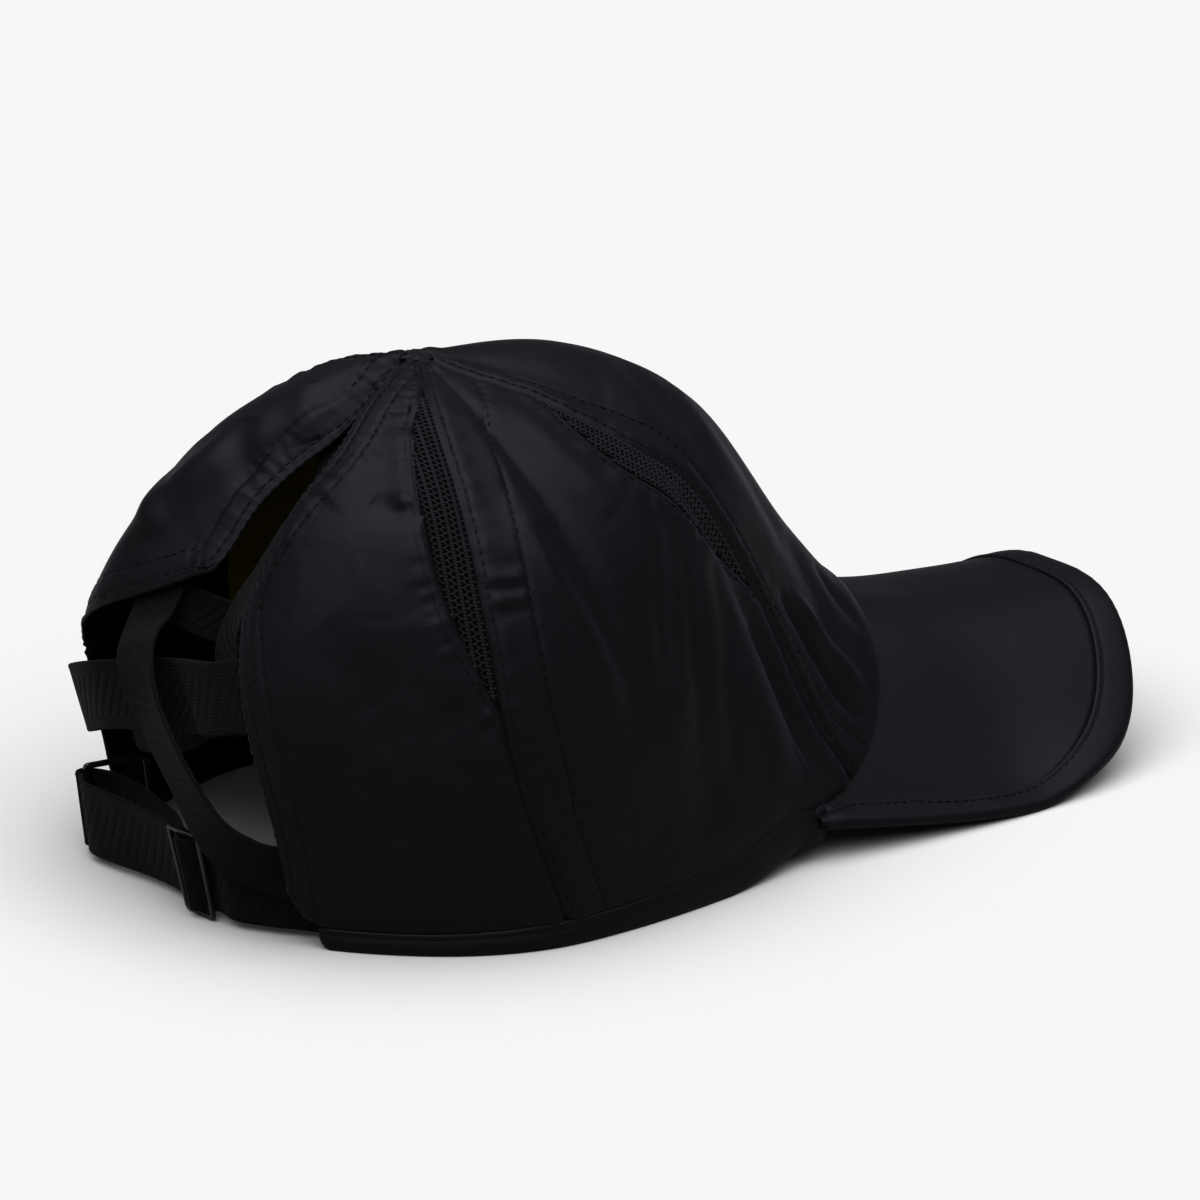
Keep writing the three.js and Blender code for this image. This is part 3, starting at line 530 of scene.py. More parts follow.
# a seam's joint dips, and the allowance beside it pads the cloth and gathers it a little: the waves
# have a pitch, a share by which it wanders, and the length over which it does so
SEAM = {
    "stitch": 2.0,
    "dip": 0.7,
    "roll": 0.9,
    "padding": 0.32,
    "middle": 3.4,
    "spread": 2.6,
    "gather": 0.12,
    "waves": (6.5, 0.4, 9),
}
# depths to which the binding draws in the cloth, over what height, and the cloth's whole drop
DRAWN = {"front": 0.6, "side": 0.5, "height": 1.6, "drop": 110}


def swell(distance, width):
    """1 on a line, falling off smoothly to both sides of it."""
    return np.exp(-((distance / width) ** 2))


def band(value, start, whole, fading, end):
    """1 inside a band, rising from its start until it is whole, and fading to its end."""
    return smoothstep(value, start, whole) * smoothstep(end - value, 0, end - fading)


def waves(run, pitch, wander, drift, fading=None):
    """Uneven gathers along a line, from -1 to 1: their pitch wanders, and some are fainter."""
    wave = np.sin(2 * math.pi * (run / pitch + wander * np.sin(run / drift)))
    return wave if fading is None else wave * (0.6 + 0.4 * np.sin(run / fading))


def drawn_in(level, depth):
    """How far the binding draws in the cloth just above the lower edge."""
    return depth * swell((1 - level) * DRAWN["drop"], DRAWN["height"])


def stitched(points, line):
    """Height of the cloth beside a row of stitches: pulled down along it, and puckered between."""
    distance, run = line.near(points)
    pull = -ROW["pull"] * swell(distance, ROW["pulled"])
    pucker = ROW["pucker"] * np.sin(2 * math.pi * run / ROW["pitch"])
    return pull + pucker * swell(distance, ROW["puckered"])


def seamed(points, line):
    """Height beside a seam: rolled in at the joint, raised over the allowance folded under it."""
    distance, run = line.near(points)
    roll = -SEAM["dip"] * swell(distance, SEAM["roll"])
    padding = SEAM["padding"] + SEAM["gather"] * waves(run, *SEAM["waves"])
    return roll + padding * swell(distance - SEAM["middle"], SEAM["spread"])


def gathered(points, line, gathers):
    """Height of the gathers in a band of cloth beside a line."""
    distance, run = line.near(points)
    return gathers["height"] * band(distance, *gathers["across"]) * waves(run, *gathers["waves"])


def creased(points, angles, levels, wide, depth):
    """Height of one soft crease or ridge, which fades out at both ends."""
    line = Line(angles, levels)
    distance, run = line.near(points)
    share = run / line.length
    fade = np.clip(4 * share * (1 - share), 0, 1) ** 0.6
    return CREASE_DEPTH * depth * fade * swell(distance, wide)


def lengths(points, axis_number):
    """Running length over a grid of points, along its rows or its columns."""
    steps = np.linalg.norm(np.diff(points, axis=axis_number), axis=2)
    start = np.zeros_like(np.take(steps, [0], axis=axis_number))
    return np.concatenate([start, np.cumsum(steps, axis=axis_number)], axis=axis_number)


def panel(name, first, second, columns, rows, heights, material=cloth, bottom=None):
    """A crown panel between two edges, with the heights that its seams, stitches and folds add."""
    u, v = np.meshgrid(np.linspace(0, 1, columns), np.linspace(0, 1, rows))
    last = 1 if bottom is None else bottom(u)
    level = TOP_LEVEL + (last - TOP_LEVEL) * v
    angle = first(level) * (1 - u) + second(level) * u
    flat = smooth_crown(angle, level)
    lift = heights(flat, angle, level)
    points = crown_point(angle, level, lift)
    across, down = lengths(flat, 1), lengths(flat, 0)
    middle = columns // 2
    uv = np.stack([across - across[:, middle : middle + 1], down], axis=-1) / 10
    return shell(name, points, CROWN["wall"], uv, material)


front_seams = {side: seam_line(FRONT_SEAM, side) for side in (-1, 1)}
# level and angle of the second row of stitches, where the allowance ends
FRONT_ROW = [
    (0.15, 40.5),
    (0.28, 35),
    (0.37, 31),
    (0.45, 28.8),
    (0.53, 30),
    (0.61, 30.4),
    (0.68, 31.2),
    (0.75, 31.2),
    (0.84, 30.4),
    (0.902, 29.6),
    (0.943, 27.7),
    (0.985, 26),
]
row_levels, row_angles = np.array(FRONT_ROW).T
front_rows = {side: Line(side * row_angles, row_levels) for side in (-1, 1)}
front_edge_rows = {side: seam_line(FRONT_SEAM, side, 0.05, 0.985, -SEAM["stitch"]) for side in (-1, 1)}
# angles, levels, width and depth in millimetres
FRONT_CREASES = [
    ((-6, -12, -17.5, -22), (0.33, 0.37, 0.41, 0.47), 5, -0.7),
    ((-5, -10, -18.5, -24), (0.43, 0.44, 0.47, 0.53), 5, -0.5),
    ((-8, -12.5, -14, -17, -20), (0.48, 0.55, 0.6, 0.68, 0.76), 5.5, -0.7),
    ((-13, -18, -20.5, -23, -26), (0.71, 0.77, 0.8, 0.83, 0.9), 4.5, -0.7),
    ((-2, -4, -6, -10), (0.5, 0.6, 0.72, 0.88), 7, 0.7),
    ((4, 9, 14, 18), (0.42, 0.52, 0.64, 0.8), 6, -0.7),
    ((18, 21, 22, 20), (0.62, 0.73, 0.83, 0.95), 4.5, -0.7),
    ((-27.5, -27, -25), (0.7, 0.83, 0.96), 1.7, -1.7),
    ((-24, -23, -21.5), (0.72, 0.84, 0.95), 2.4, 1.1),
    ((27.5, 27, 25), (0.7, 0.83, 0.96), 2.4, -1.2),
    ((-18, -9, 0, 9, 18), (0.925, 0.93, 0.93, 0.93, 0.925), 6, 0.9),
    ((-12, -14, -15), (0.8, 0.86, 0.94), 2.5, -0.7),
    ((4, 3, 1), (0.82, 0.88, 0.95), 3, -0.6),
]


def front_heights(points, angle, level):
    height = np.zeros(points.shape[:-1])
    for side in (-1, 1):
        height += seamed(points, front_seams[side])
        height += stitched(points, front_rows[side]) + stitched(points, front_edge_rows[side])
    for angles, levels, wide, depth in FRONT_CREASES:
        height += creased(points, angles, levels, wide, depth)
    return height - drawn_in(level, DRAWN["front"])


front_panel = panel(
    "front_panel",
    lambda level: -along(FRONT_SEAM, 1, level),
    lambda level: along(FRONT_SEAM, 1, level),
    columns=150,
    rows=130,
    heights=front_heights,
)
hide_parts("panel_front")
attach(front_panel, "root")

# Side panels: the same cloth, from the front seam to the rear seam on each side. Their front edge is cut
# back round the front mesh, and a second row of stitches runs forward of the rear seam.
# level and angle, from the top down
REAR_SEAM = np.array([(0, 118), (0.2, 114.5), (0.4, 110), (0.6, 107.5), (0.8, 103.5), (1, 94.5)])
# start and end are levels, and beside is where the padding along it starts, is whole, fades and ends
FRONT_MESH = {"start": 0.23, "end": 0.67, "width": 12, "beside": (0.2, 0.24, 0.66, 0.7)}
MESH_OVERRUN = 0.01
# level and angle of the second row of stitches, forward of the rear seam
REAR_ROW = [
    (0.14, 71.5),
    (0.26, 90),
    (0.41, 96),
    (0.53, 97.3),
    (0.62, 97),
    (0.72, 95.8),
    (0.87, 92),
    (0.985, 87),
]


def mesh_width(mesh, level):
    t = np.clip((level - mesh["start"]) / (mesh["end"] - mesh["start"]), 0, 1)
    return mesh["width"] * np.abs(np.sin(math.pi * t**1.2)) ** 0.8


def mesh_edge(table, mesh, side, beyond=0.0):
    """The line where a mesh's long free edge meets its panel, or a line just beyond it."""
    level = np.linspace(mesh["start"] - MESH_OVERRUN, mesh["end"] + MESH_OVERRUN, 60)
    angle = along(table, 1, level)
    return Line(side * (angle + turn_for(side * angle, level, mesh_width(mesh, level) + beyond)), level)


rear_seams = {side: seam_line(REAR_SEAM, side) for side in (-1, 1)}
row_levels, row_angles = np.array(REAR_ROW).T
rear_rows = {side: Line(side * row_angles, row_levels) for side in (-1, 1)}
rear_edge_rows = {side: seam_line(REAR_SEAM, side, 0.05, 0.985, -SEAM["stitch"]) for side in (-1, 1)}
front_mesh_edges = {side: mesh_edge(FRONT_SEAM, FRONT_MESH, side) for side in (-1, 1)}
front_mesh_rows = {side: mesh_edge(FRONT_SEAM, FRONT_MESH, side, SEAM["stitch"]) for side in (-1, 1)}
# gathers between the rear seam and the second row, and beside the mesh: across is where they start, are
# whole, fade and end, and the last of four waves is the length over which they grow fainter
STRIP_GATHERS = {"height": 0.42, "across": (1, 4, 9, 12), "waves": (8.5, 0.5, 6.1, 3.7)}
STRIP_LEVELS = (0.25, 0.4, 0.56, 0.66)
FRONT_MESH_GATHERS = {"height": 0.2, "across": (1.5, 3, 3, 10), "waves": (7.5, 0.3, 5)}
# angles, levels, width and depth, as on the front panel
SIDE_CREASES = [
    ((94.8, 90.5, 84.8, 80.9), (0.437, 0.539, 0.631, 0.726), 3.2, 0.9),
    ((89, 84, 79, 76), (0.45, 0.55, 0.66, 0.78), 5, -0.9),
    ((53, 58, 64, 70), (0.47, 0.53, 0.62, 0.75), 3.2, -0.75),
    ((49, 53, 58, 63), (0.51, 0.57, 0.67, 0.82), 3, -0.65),
    ((45, 49, 53, 57), (0.6, 0.67, 0.77, 0.9), 3.6, -0.75),
    ((100, 92.6, 87.3), (0.87, 0.848, 0.838), 2.2, -0.7),
    ((40, 38, 37), (0.7, 0.84, 0.96), 3, -1.4),
    ((47, 46, 44), (0.74, 0.86, 0.96), 4, 0.9),
    ((60, 63, 62), (0.75, 0.86, 0.95), 6, -0.8),
    ((72, 70, 66), (0.2, 0.34, 0.46), 5, 0.7),
]


def side_heights(side):
    def heights(points, angle, level):
        height = seamed(points, front_seams[side]) + seamed(points, rear_seams[side])
        height += seamed(points, front_mesh_edges[side]) * band(level, *FRONT_MESH["beside"])
        for line in (rear_rows[side], rear_edge_rows[side], front_mesh_rows[side]):
            height += stitched(points, line)
        height += gathered(points, rear_seams[side], STRIP_GATHERS) * band(level, *STRIP_LEVELS)
        height += gathered(points, front_mesh_edges[side], FRONT_MESH_GATHERS)
        for angles, levels, wide, depth in SIDE_CREASES:
            height += creased(points, [side * a for a in angles], levels, wide, depth)
        return height - drawn_in(level, DRAWN["side"])

    return heights


def front_cut(side):
    def edge(level):
        angle = along(FRONT_SEAM, 1, level)
        return side * (angle + turn_for(side * angle, level, mesh_width(FRONT_MESH, level)))

    return edge


for side, label in ((-1, "right"), (1, "left")):
    side_panel = panel(
        "side_panel_" + label,
        front_cut(side),
        lambda level, side=side: side * along(REAR_SEAM, 1, level),
        columns=150,
        rows=150,
        heights=side_heights(side),
    )
    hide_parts("panel_side_" + label)
    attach(side_panel, "root")

# Rear panels: the same cloth, from the rear seam to the ponytail opening. The free edge is turned in and
# sewn down with two rows, which gather it, and its lower corner is rounded.
REAR_MESH = {"start": 0.16, "end": 0.71, "width": 9.5, "beside": (0.12, 0.17, 0.7, 0.74)}
# level and angle of the free edge, on the right (-1) and on the left (1)
FREE_EDGES = {
    -1: np.array(
        [
            (0, 150),
            (0.2, 147.5),
            (0.34, 147.5),
            (0.45, 154),
            (0.58, 159),
            (0.67, 155.6),
            (0.76, 151.5),
            (0.86, 148),
            (1, 146),
        ]
    ),
    1: np.array(
        [
            (0, 184),
            (0.16, 184),
            (0.3, 176.5),
            (0.42, 174.6),
            (0.57, 176),
            (0.6, 170),
            (0.64, 163),
            (0.69, 154),
            (0.74, 146.5),
            (0.8, 143.5),
            (1, 143.5),
        ]
    ),
}
# how far from the free edge its two rows of stitches lie
HEM_ROWS = (2.0, 6.5)
# the turned edge lies higher by its fold, and is gathered more on the right than on the left
TURNED = {"fold": 0.4, "across": (0.3, 1.5, 6, 8.5), "waves": (4.4, 0.55, 6, 5.3)}
TURNED_GATHERS = {-1: 0.24, 1: 0.15}
TURNED_FADE = {"end": 0.75, "length": 0.2}
REAR_MESH_GATHERS = {"height": 0.24, "across": (1, 2.2, 3, 8), "waves": (4.2, 0.5, 5.1, 4.3)}
# angles, levels, width and depth, as on the front panel
REAR_CREASES = {
    -1: [
        ((-119.7, -125.4, -132), (0.454, 0.443, 0.421), 3, -1.1),
        ((-117.5, -125.2, -132.3), (0.286, 0.24, 0.214), 3, -0.9),
        ((-142.4, -136.3, -130.9), (0.44, 0.366, 0.338), 4, 0.8),
        ((-118.4, -116.7, -114.9), (0.58, 0.64, 0.71), 4, 0.7),
        ((-129, -125.7, -120.6), (0.885, 0.876, 0.864), 2, -0.6),
        ((-140, -134, -128), (0.62, 0.66, 0.72), 7, -0.6),
        ((-133, -124, -116), (0.78, 0.8, 0.79), 6, 0.6),
    ],
    1: [
        ((122, 130, 138), (0.42, 0.44, 0.46), 4, -1.0),
        ((150, 158, 168), (0.34, 0.38, 0.4), 4, -1.0),
        ((140, 150, 158), (0.52, 0.55, 0.56), 4, 0.9),
        ((120, 126, 134), (0.7, 0.72, 0.76), 5, -0.8),
        ((148, 160, 172), (0.22, 0.24, 0.27), 4, 0.8),
    ],
}
free_edges = {}
hem_rows = {}
for side, table in FREE_EDGES.items():
    level = np.linspace(0.03, 1, 80)
    free_edges[side] = Line(side * along(table, 1, level), level)
    hem_rows[side] = [free_edges[side].beside(-side * distance) for distance in HEM_ROWS]
rear_mesh_edges = {side: mesh_edge(REAR_SEAM, REAR_MESH, side) for side in (-1, 1)}
rear_mesh_rows = {side: mesh_edge(REAR_SEAM, REAR_MESH, side, SEAM["stitch"]) for side in (-1, 1)}


def rear_heights(side):
    def heights(points, angle, level):
        height = seamed(points, rear_seams[side])
        height += seamed(points, rear_mesh_edges[side]) * band(level, *REAR_MESH["beside"])
        for line in (rear_mesh_rows[side], *hem_rows[side]):
            height += stitched(points, line)
        distance, run = free_edges[side].near(points)
        turned = band(distance, *TURNED["across"])
        gather = TURNED_GATHERS[side] * waves(run, *TURNED["waves"])
        gather *= smoothstep(TURNED_FADE["end"] - level, 0, TURNED_FADE["length"])
        height += turned * (TURNED["fold"] + gather)
        height += gathered(points, rear_mesh_edges[side], REAR_MESH_GATHERS)
        for angles, levels, wide, depth in REAR_CREASES[side]:
            height += creased(points, angles, levels, wide, depth)
        return height - drawn_in(level, DRAWN["side"])

    return heights


for side, label in ((-1, "right"), (1, "left")):

    def seam_side(level, side=side):
        angle = along(REAR_SEAM, 1, level)
        return side * (angle + turn_for(side * angle, level, mesh_width(REAR_MESH, level)))

    def free_side(level, side=side):
        return side * along(FREE_EDGES[side], 1, level)

    corner_share = turn_for(free_side(1), 1, HEM["corner"]) / abs(free_side(1) - seam_side(1))

    def rounded(u):
        t = np.clip(1 - (1 - u) / corner_share, 0, 1)
        return 1 - (HEM["corner"] / CROWN["height"]) * (1 - np.sqrt(1 - t * t))

    rear_panel = panel(
        "rear_panel_" + label,
        seam_side,
        free_side,
        columns=120,
        rows=160,
        heights=rear_heights(side),
        bottom=rounded,
    )
    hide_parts("panel_rear_" + label)
    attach(rear_panel, "root")

# Mesh insets: narrow crescents of open knitted net, let in behind the front and the rear seams. Each has
# a net of fine yarn over a thin dark backing.
# swing is a share of the pitch, trim is in levels, and the rest is in millimetres
NET = {
    "pitch": 1.4,
    "yarn": 0.27,
    "sink": 0.5,
    "backing": 0.5,
    "swing": 0.27,
    "margin": 0.2,
    "narrowest": 0.4,
    "trim": 0.008,
}
knit = woven_cloth(
    "knit_backing", (0.002, 0.002, 0.0025), (0.004, 0.004, 0.0045), roughness=0.9, sheen=0.0, gleam=0.05
)
yarn = woven_cloth(
    "net_yarn", (0.006, 0.006, 0.0075), (0.01, 0.01, 0.012), roughness=0.7, sheen=0.05, gleam=0.15
)


def yarn_tree():
    """Turns the edges of a net into round yarn."""
    tree = bpy.data.node_groups.new("yarn_net", "GeometryNodeTree")
    tree.interface.new_socket("Net", in_out="INPUT", socket_type="NodeSocketGeometry")
    tree.interface.new_socket("Yarn radius", in_out="INPUT", socket_type="NodeSocketFloat")
    tree.interface.new_socket("Material", in_out="INPUT", socket_type="NodeSocketMaterial")
    tree.interface.new_socket("Net", in_out="OUTPUT", socket_type="NodeSocketGeometry")
    nodes, links = tree.nodes, tree.links
    source, result = nodes.new("NodeGroupInput"), nodes.new("NodeGroupOutput")
    curves = nodes.new("GeometryNodeMeshToCurve")
    profile = nodes.new("GeometryNodeCurvePrimitiveCircle")
    profile.inputs["Resolution"].default_value = 5
    tube = nodes.new("GeometryNodeCurveToMesh")
    tube.inputs["Fill Caps"].default_value = True
    realize = nodes.new("GeometryNodeRealizeInstances")
    paint = nodes.new("GeometryNodeSetMaterial")
    links.new(source.outputs["Net"], curves.inputs["Mesh"])
    links.new(source.outputs["Yarn radius"], profile.inputs["Radius"])
    links.new(curves.outputs["Curve"], tube.inputs["Curve"])
    links.new(profile.outputs["Curve"], tube.inputs["Profile Curve"])
    links.new(tube.outputs["Mesh"], realize.inputs["Geometry"])
    links.new(realize.outputs["Geometry"], paint.inputs["Geometry"])
    links.new(source.outputs["Material"], paint.inputs["Material"])
    links.new(paint.outputs["Geometry"], result.inputs["Net"])
    return tree


def grown(name, points, edges, tree, values, outward=None):
    """The plain mesh that a node tree grows from a net or a line of points."""
    seed = bpy.data.meshes.new(name + "_seed")
    seed.from_pydata((np.asarray(points) * MM + (axis.x, axis.y, 0)).tolist(), edges, [])
    if outward is not None:
        layer = seed.attributes.new("outward", "FLOAT_VECTOR", "POINT")
        layer.data.foreach_set("vector", np.asarray(outward, float).ravel())
    holder = bpy.data.objects.new(name + "_seed", seed)
    bpy.context.collection.objects.link(holder)
    modifier = holder.modifiers.new("grow", "NODES")
    modifier.node_group = tree
    for socket in tree.interface.items_tree:
        if socket.in_out == "INPUT" and socket.name in values:
            modifier[socket.identifier] = values[socket.name]
    holder.update_tag()
    bpy.context.view_layer.update()
    evaluated = holder.evaluated_get(bpy.context.evaluated_depsgraph_get())
    mesh = bpy.data.meshes.new_from_object(evaluated)
    mesh.name = name
    bpy.data.objects.remove(holder)
    piece = bpy.data.objects.new(name, mesh)
    bpy.context.collection.objects.link(piece)
    return piece


net_tree = yarn_tree()


def crescent(side, name, node, table, mesh):
    """One mesh inset: its backing and, just off it, a net of six-sided holes."""
    start, end = mesh["start"] + NET["trim"], mesh["end"] - NET["trim"]
    v, u = np.meshgrid(np.linspace(start, end, 60), np.linspace(0, 1, 9), indexing="ij")

    def spot(u, level, lift):
        angle = along(table, 1, level)
        turn = turn_for(side * angle, level, mesh_width(mesh, level))
        return crown_point(side * (angle + turn * u), level, lift)

    under = spot(u, v, -NET["sink"] - NET["yarn"])
    backing = shell(name + "_backing", under, NET["backing"], np.stack([u, v * 12], -1), knit)
    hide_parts(node)
    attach(backing, "root")
    middle = along(table, 1, np.linspace(start, end, 200))
    run = smooth_crown(side * middle, np.linspace(start, end, 200))
    length = np.linalg.norm(np.diff(run, axis=0), axis=1).sum()
    points, edges = [], []
    rows = int(length / (NET["pitch"] * 0.5))
    columns = int(mesh["width"] / NET["pitch"]) + 2
    cell = {}
    for j in range(rows + 1):
        level = start + (end - start) * j / rows
        width = float(mesh_width(mesh, level))
        for i in range(columns + 1):
            swing = NET["swing"] if (j + i) % 2 else -NET["swing"]
            shifted = (i + (swing if i % 2 else -swing)) * NET["pitch"]
            if shifted < -NET["margin"] or shifted > width + NET["margin"]:
                continue
            cell[j, i] = len(points)
            points.append((shifted / max(width, NET["narrowest"]), level))
    for (j, i), index in cell.items():
        if (j + 1, i) in cell:
            edges.append((index, cell[j + 1, i]))
        if (i + j) % 2 == 0 and (j, i + 1) in cell:
            edges.append((index, cell[j, i + 1]))
    across, level = np.array(points).T
    net = grown(
        name + "_net",
        spot(np.clip(across, 0, 1), level, -NET["sink"]),
        edges,
        net_tree,
        {"Yarn radius": NET["yarn"] * MM, "Material": yarn},
    )
    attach(net, "root")


for side, label in ((-1, "right"), (1, "left")):
    crescent(side, "front_mesh_" + label, "mesh_front_" + label, FRONT_SEAM, FRONT_MESH)
    crescent(side, "rear_mesh_" + label, "mesh_rear_" + label, REAR_SEAM, REAR_MESH)

# Lining: thin smooth cloth inside the left side panel, the only lining that shows, through the opening.
# It hangs a little loose behind the panel, so it has long soft folds.
LINING = {"wall": 0.7, "behind": 1.3, "start": 0.28, "end": 0.97, "front_margin": 16, "rear_margin": 4}
# depth in millimetres, and how far the wave runs along and down the lining, in radians
LINING_FOLDS = {"wide": (0.4, 9, 5), "narrow": (0.24, 23, -4)}
lining_cloth = woven_cloth(
    "lining_cloth", (0.2, 0.14, 0.008), (0.27, 0.19, 0.014), roughness=0.45, sheen=0.1
)
u, v = np.meshgrid(np.linspace(0, 1, 60), np.linspace(LINING["start"], LINING["end"], 60))
lining_from = along(FRONT_SEAM, 1, v) + turn_for(90.0, v, LINING["front_margin"])
lining_to = along(REAR_SEAM, 1, v) - turn_for(90.0, v, LINING["rear_margin"])
loose = np.zeros(u.shape)
for (depth, onwards, downwards), part in zip(LINING_FOLDS.values(), (u, v)):
    loose += depth * np.sin(onwards * u + downwards * v) * np.sin(math.pi * part)
lining = shell(
    "side_lining",
    crown_point(lining_from + (lining_to - lining_from) * u, v, loose - CROWN["wall"] - LINING["behind"]),
    LINING["wall"],
    np.stack([u * 6, v * 9], axis=-1),
    lining_cloth,
)
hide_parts("lining_left")
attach(lining, "root")

# Top point: the seams of all the panels meet here in a small gathered knot of the crown's own cloth,
# which the ends of the seams draw together.
KNOT = {"radius": 4.2, "height": 0.55, "depth": 1.8, "gathers": 6, "uneven": 0.08, "slope": 0.26}
turn, part = np.meshgrid(np.linspace(0, 2 * math.pi, 60, endpoint=False), np.linspace(0, 1, 12))
gathers = np.cos(KNOT["gathers"] * turn + 3 * part)
bulge = np.sqrt(np.clip(1 - part**2, 0, 1)) + gathers * part * (1 - part)
radius = KNOT["radius"] * part * (1 + KNOT["uneven"] * gathers)
height = CROWN["height"] + KNOT["height"] * bulge - KNOT["slope"] * radius
rings = np.stack([radius * np.cos(turn), radius * np.sin(turn), height], axis=-1)[1:]
peak, under = [0, 0, height[0, 0]], [0, 0, CROWN["height"] - KNOT["depth"]]
cloud = np.concatenate([rings.reshape(-1, 3), [peak, under]])
count = rings.shape[1]
last = (len(rings) - 1) * count
faces = []
for i in range(count):
    k = (i + 1) % count
    faces.append((len(cloud) - 2, k, i))
    faces.append((len(cloud) - 1, last + i, last + k))
    for start in range(0, last, count):
        faces.append((start + i, start + k, start + count + k, start + count + i))
knot = solid("crown_knot", cloud, faces, cloud[:, :2] / 10, cloth)
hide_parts("crown_tack")
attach(knot, "root")

# Brim: a curved board covered with the same cloth, pulled tight. Its root is tucked under the front
# panel, and its edge is bordered all along.
OUTLINE = {"widest": 0.68, "power": 2.9, "shoulder": 8, "taper": 0.02, "root_lap": 1.5}
# the covered board is thinner than the brim, lies a little under its surface, and rises off the border
COVER = {"thinner": 0.4, "sink": 0.25, "rise": 0.15, "rise_length": 6, "border_gap": 0.5}
BOARD_SPREAD = 44 / 48


def outline_point(part, side):
    """The brim's edge in plan, from 0 at the tip to 1 at the right or left root."""
    widest_y = -CROWN["front_reach"] + OUTLINE["shoulder"]
    t = np.clip((part - OUTLINE["widest"]) / (1 - OUTLINE["widest"]), 0, 1)
    straight = (
        BRIM["half_width"] * (1 - OUTLINE["taper"] * t * t),
        widest_y + (root_point[1] - OUTLINE["root_lap"] - widest_y) * t,
    )
    turned = np.clip(part / OUTLINE["widest"], 0, 1) * math.pi / 2
    power = 2 / OUTLINE["power"]
    curved = (
        BRIM["half_width"] * np.sin(turned) ** power,
        widest_y - (BRIM["length"] + OUTLINE["shoulder"]) * np.abs(np.cos(turned)) ** power,
    )
    far = part > OUTLINE["widest"]
    x, y = (np.where(far, a, b) for a, b in zip(straight, curved))
    return np.stack([side * x, y], axis=-1)


def brim_line(u):
    """Root and edge of each line over the brim, its length, and how far along it the border starts."""
    angle = u * BRIM["root_angle"]
    root = plan_point(angle, hem_reach(angle) - BRIM["tuck"], 0)[..., :2]
    rim = outline_point(np.abs(u), np.where(u < 0, -1, 1))
    length = np.linalg.norm(rim - root, axis=-1)
    least = BRIM["tuck"] + HEM["proud"] + BRIM["least_board"]
    return root, rim, length, np.maximum(length - BRIM["border"], least)


def brim_point(u, distance, lift):
    root, rim, length, _ = brim_line(u)
    spot = root + (rim - root) * (distance / length)[..., None]
    x, y = spot[..., 0], spot[..., 1]
    return np.stack([x, y, brim_height(x, y) + lift], axis=-1)


# the brim cloth's two tones, between which its painted sheen mottle runs
dark, light = (0.0032, 0.0032, 0.0044), (0.0045, 0.0045, 0.0063)
brim_cloth = woven_cloth("brim_cloth", dark, light, roughness=0.5, sheen=0.04, rumpled=0.08)
v, u = np.meshgrid(np.linspace(0, 1, 60), np.linspace(-BOARD_SPREAD, BOARD_SPREAD, 160), indexing="ij")
border_from = brim_line(u)[3]
distance = v * (border_from - COVER["border_gap"])
rise = COVER["rise"] * smoothstep(border_from - distance, 0, COVER["rise_length"])
covered = brim_point(u, distance, rise - COVER["sink"])
board_uv = np.stack([u * 6, v * 7], axis=-1)
board = shell("brim_board", covered, BRIM["board"] - COVER["thinner"], board_uv, brim_cloth)
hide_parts("brim")
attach(board, "root")

# Border of the brim: a bias strip folded over the board's edge, its turned inner edge standing as a narrow
# welt beside one row of stitches.
# millimetres, but ends is a share of the way round from the tip to the root
BORDER = {"ends_drop": 0.9, "ends": 0.07, "ripple": 0.07, "ripple_pitch": 3.1}
BORDER_STITCHES = {"share": 0.19, "lift": 0.35}
# share of the way out from the welt, height off the brim's surface in millimetres
BORDER_PROFILE = [
    (0.0, -2.2),
    (0.0, -0.15),
    (0.025, 0.25),
    (0.08, 0.42),
    (0.14, 0.25),
    (0.18, 0.02),
    (0.23, 0.12),
    (0.4, 0.2),
    (0.62, 0.12),
    (0.8, -0.08),
    (0.92, -0.45),
    (0.985, -1.0),
    (1.0, -1.8),
    (0.985, -2.5),
    (0.92, -3.0),
    (0.7, -3.35),
    (0.3, -3.4),
    (0.04, -3.3),
]
# rows of the profile: those that drop at the brim's ends, those that ripple, and the one on the crest
DROPPED_ROWS = slice(0, 13)
RIPPLED_ROWS = slice(2, 12)
CREST_ROW = 8


def swept(name, rings, uv_run, material):
    """A closed solid through rings of points, with rounded-off flat ends."""
    steps, count = rings.shape[:2]
    grid = np.arange(steps * count).reshape(steps, count)
    faces = [
        (grid[k, i], grid[k, (i + 1) % count], grid[k + 1, (i + 1) % count], grid[k + 1, i])
        for k in range(steps - 1)
        for i in range(count)
    ]
    middles = [rings[0].mean(axis=0), rings[-1].mean(axis=0)]
    for end, middle in ((0, steps * count), (steps - 1, steps * count + 1)):
        faces += [(grid[end, i], grid[end, (i + 1) % count], middle) for i in range(count)]
    cloud = np.concatenate([rings.reshape(-1, 3), middles])
    around = lengths(rings, 1)
    run = np.broadcast_to(uv_run[:, None], around.shape)
    uv = np.stack([around, run], axis=-1).reshape(-1, 2) / 10
    return solid(name, cloud, faces, np.concatenate([uv, uv[:1], uv[-1:]]), material)


across = np.linspace(-1, 1, 220)
_, _, brim_length, border_from = brim_line(across)


def border_line(share, height):
    return brim_point(across, border_from + (brim_length - border_from) * share, height)


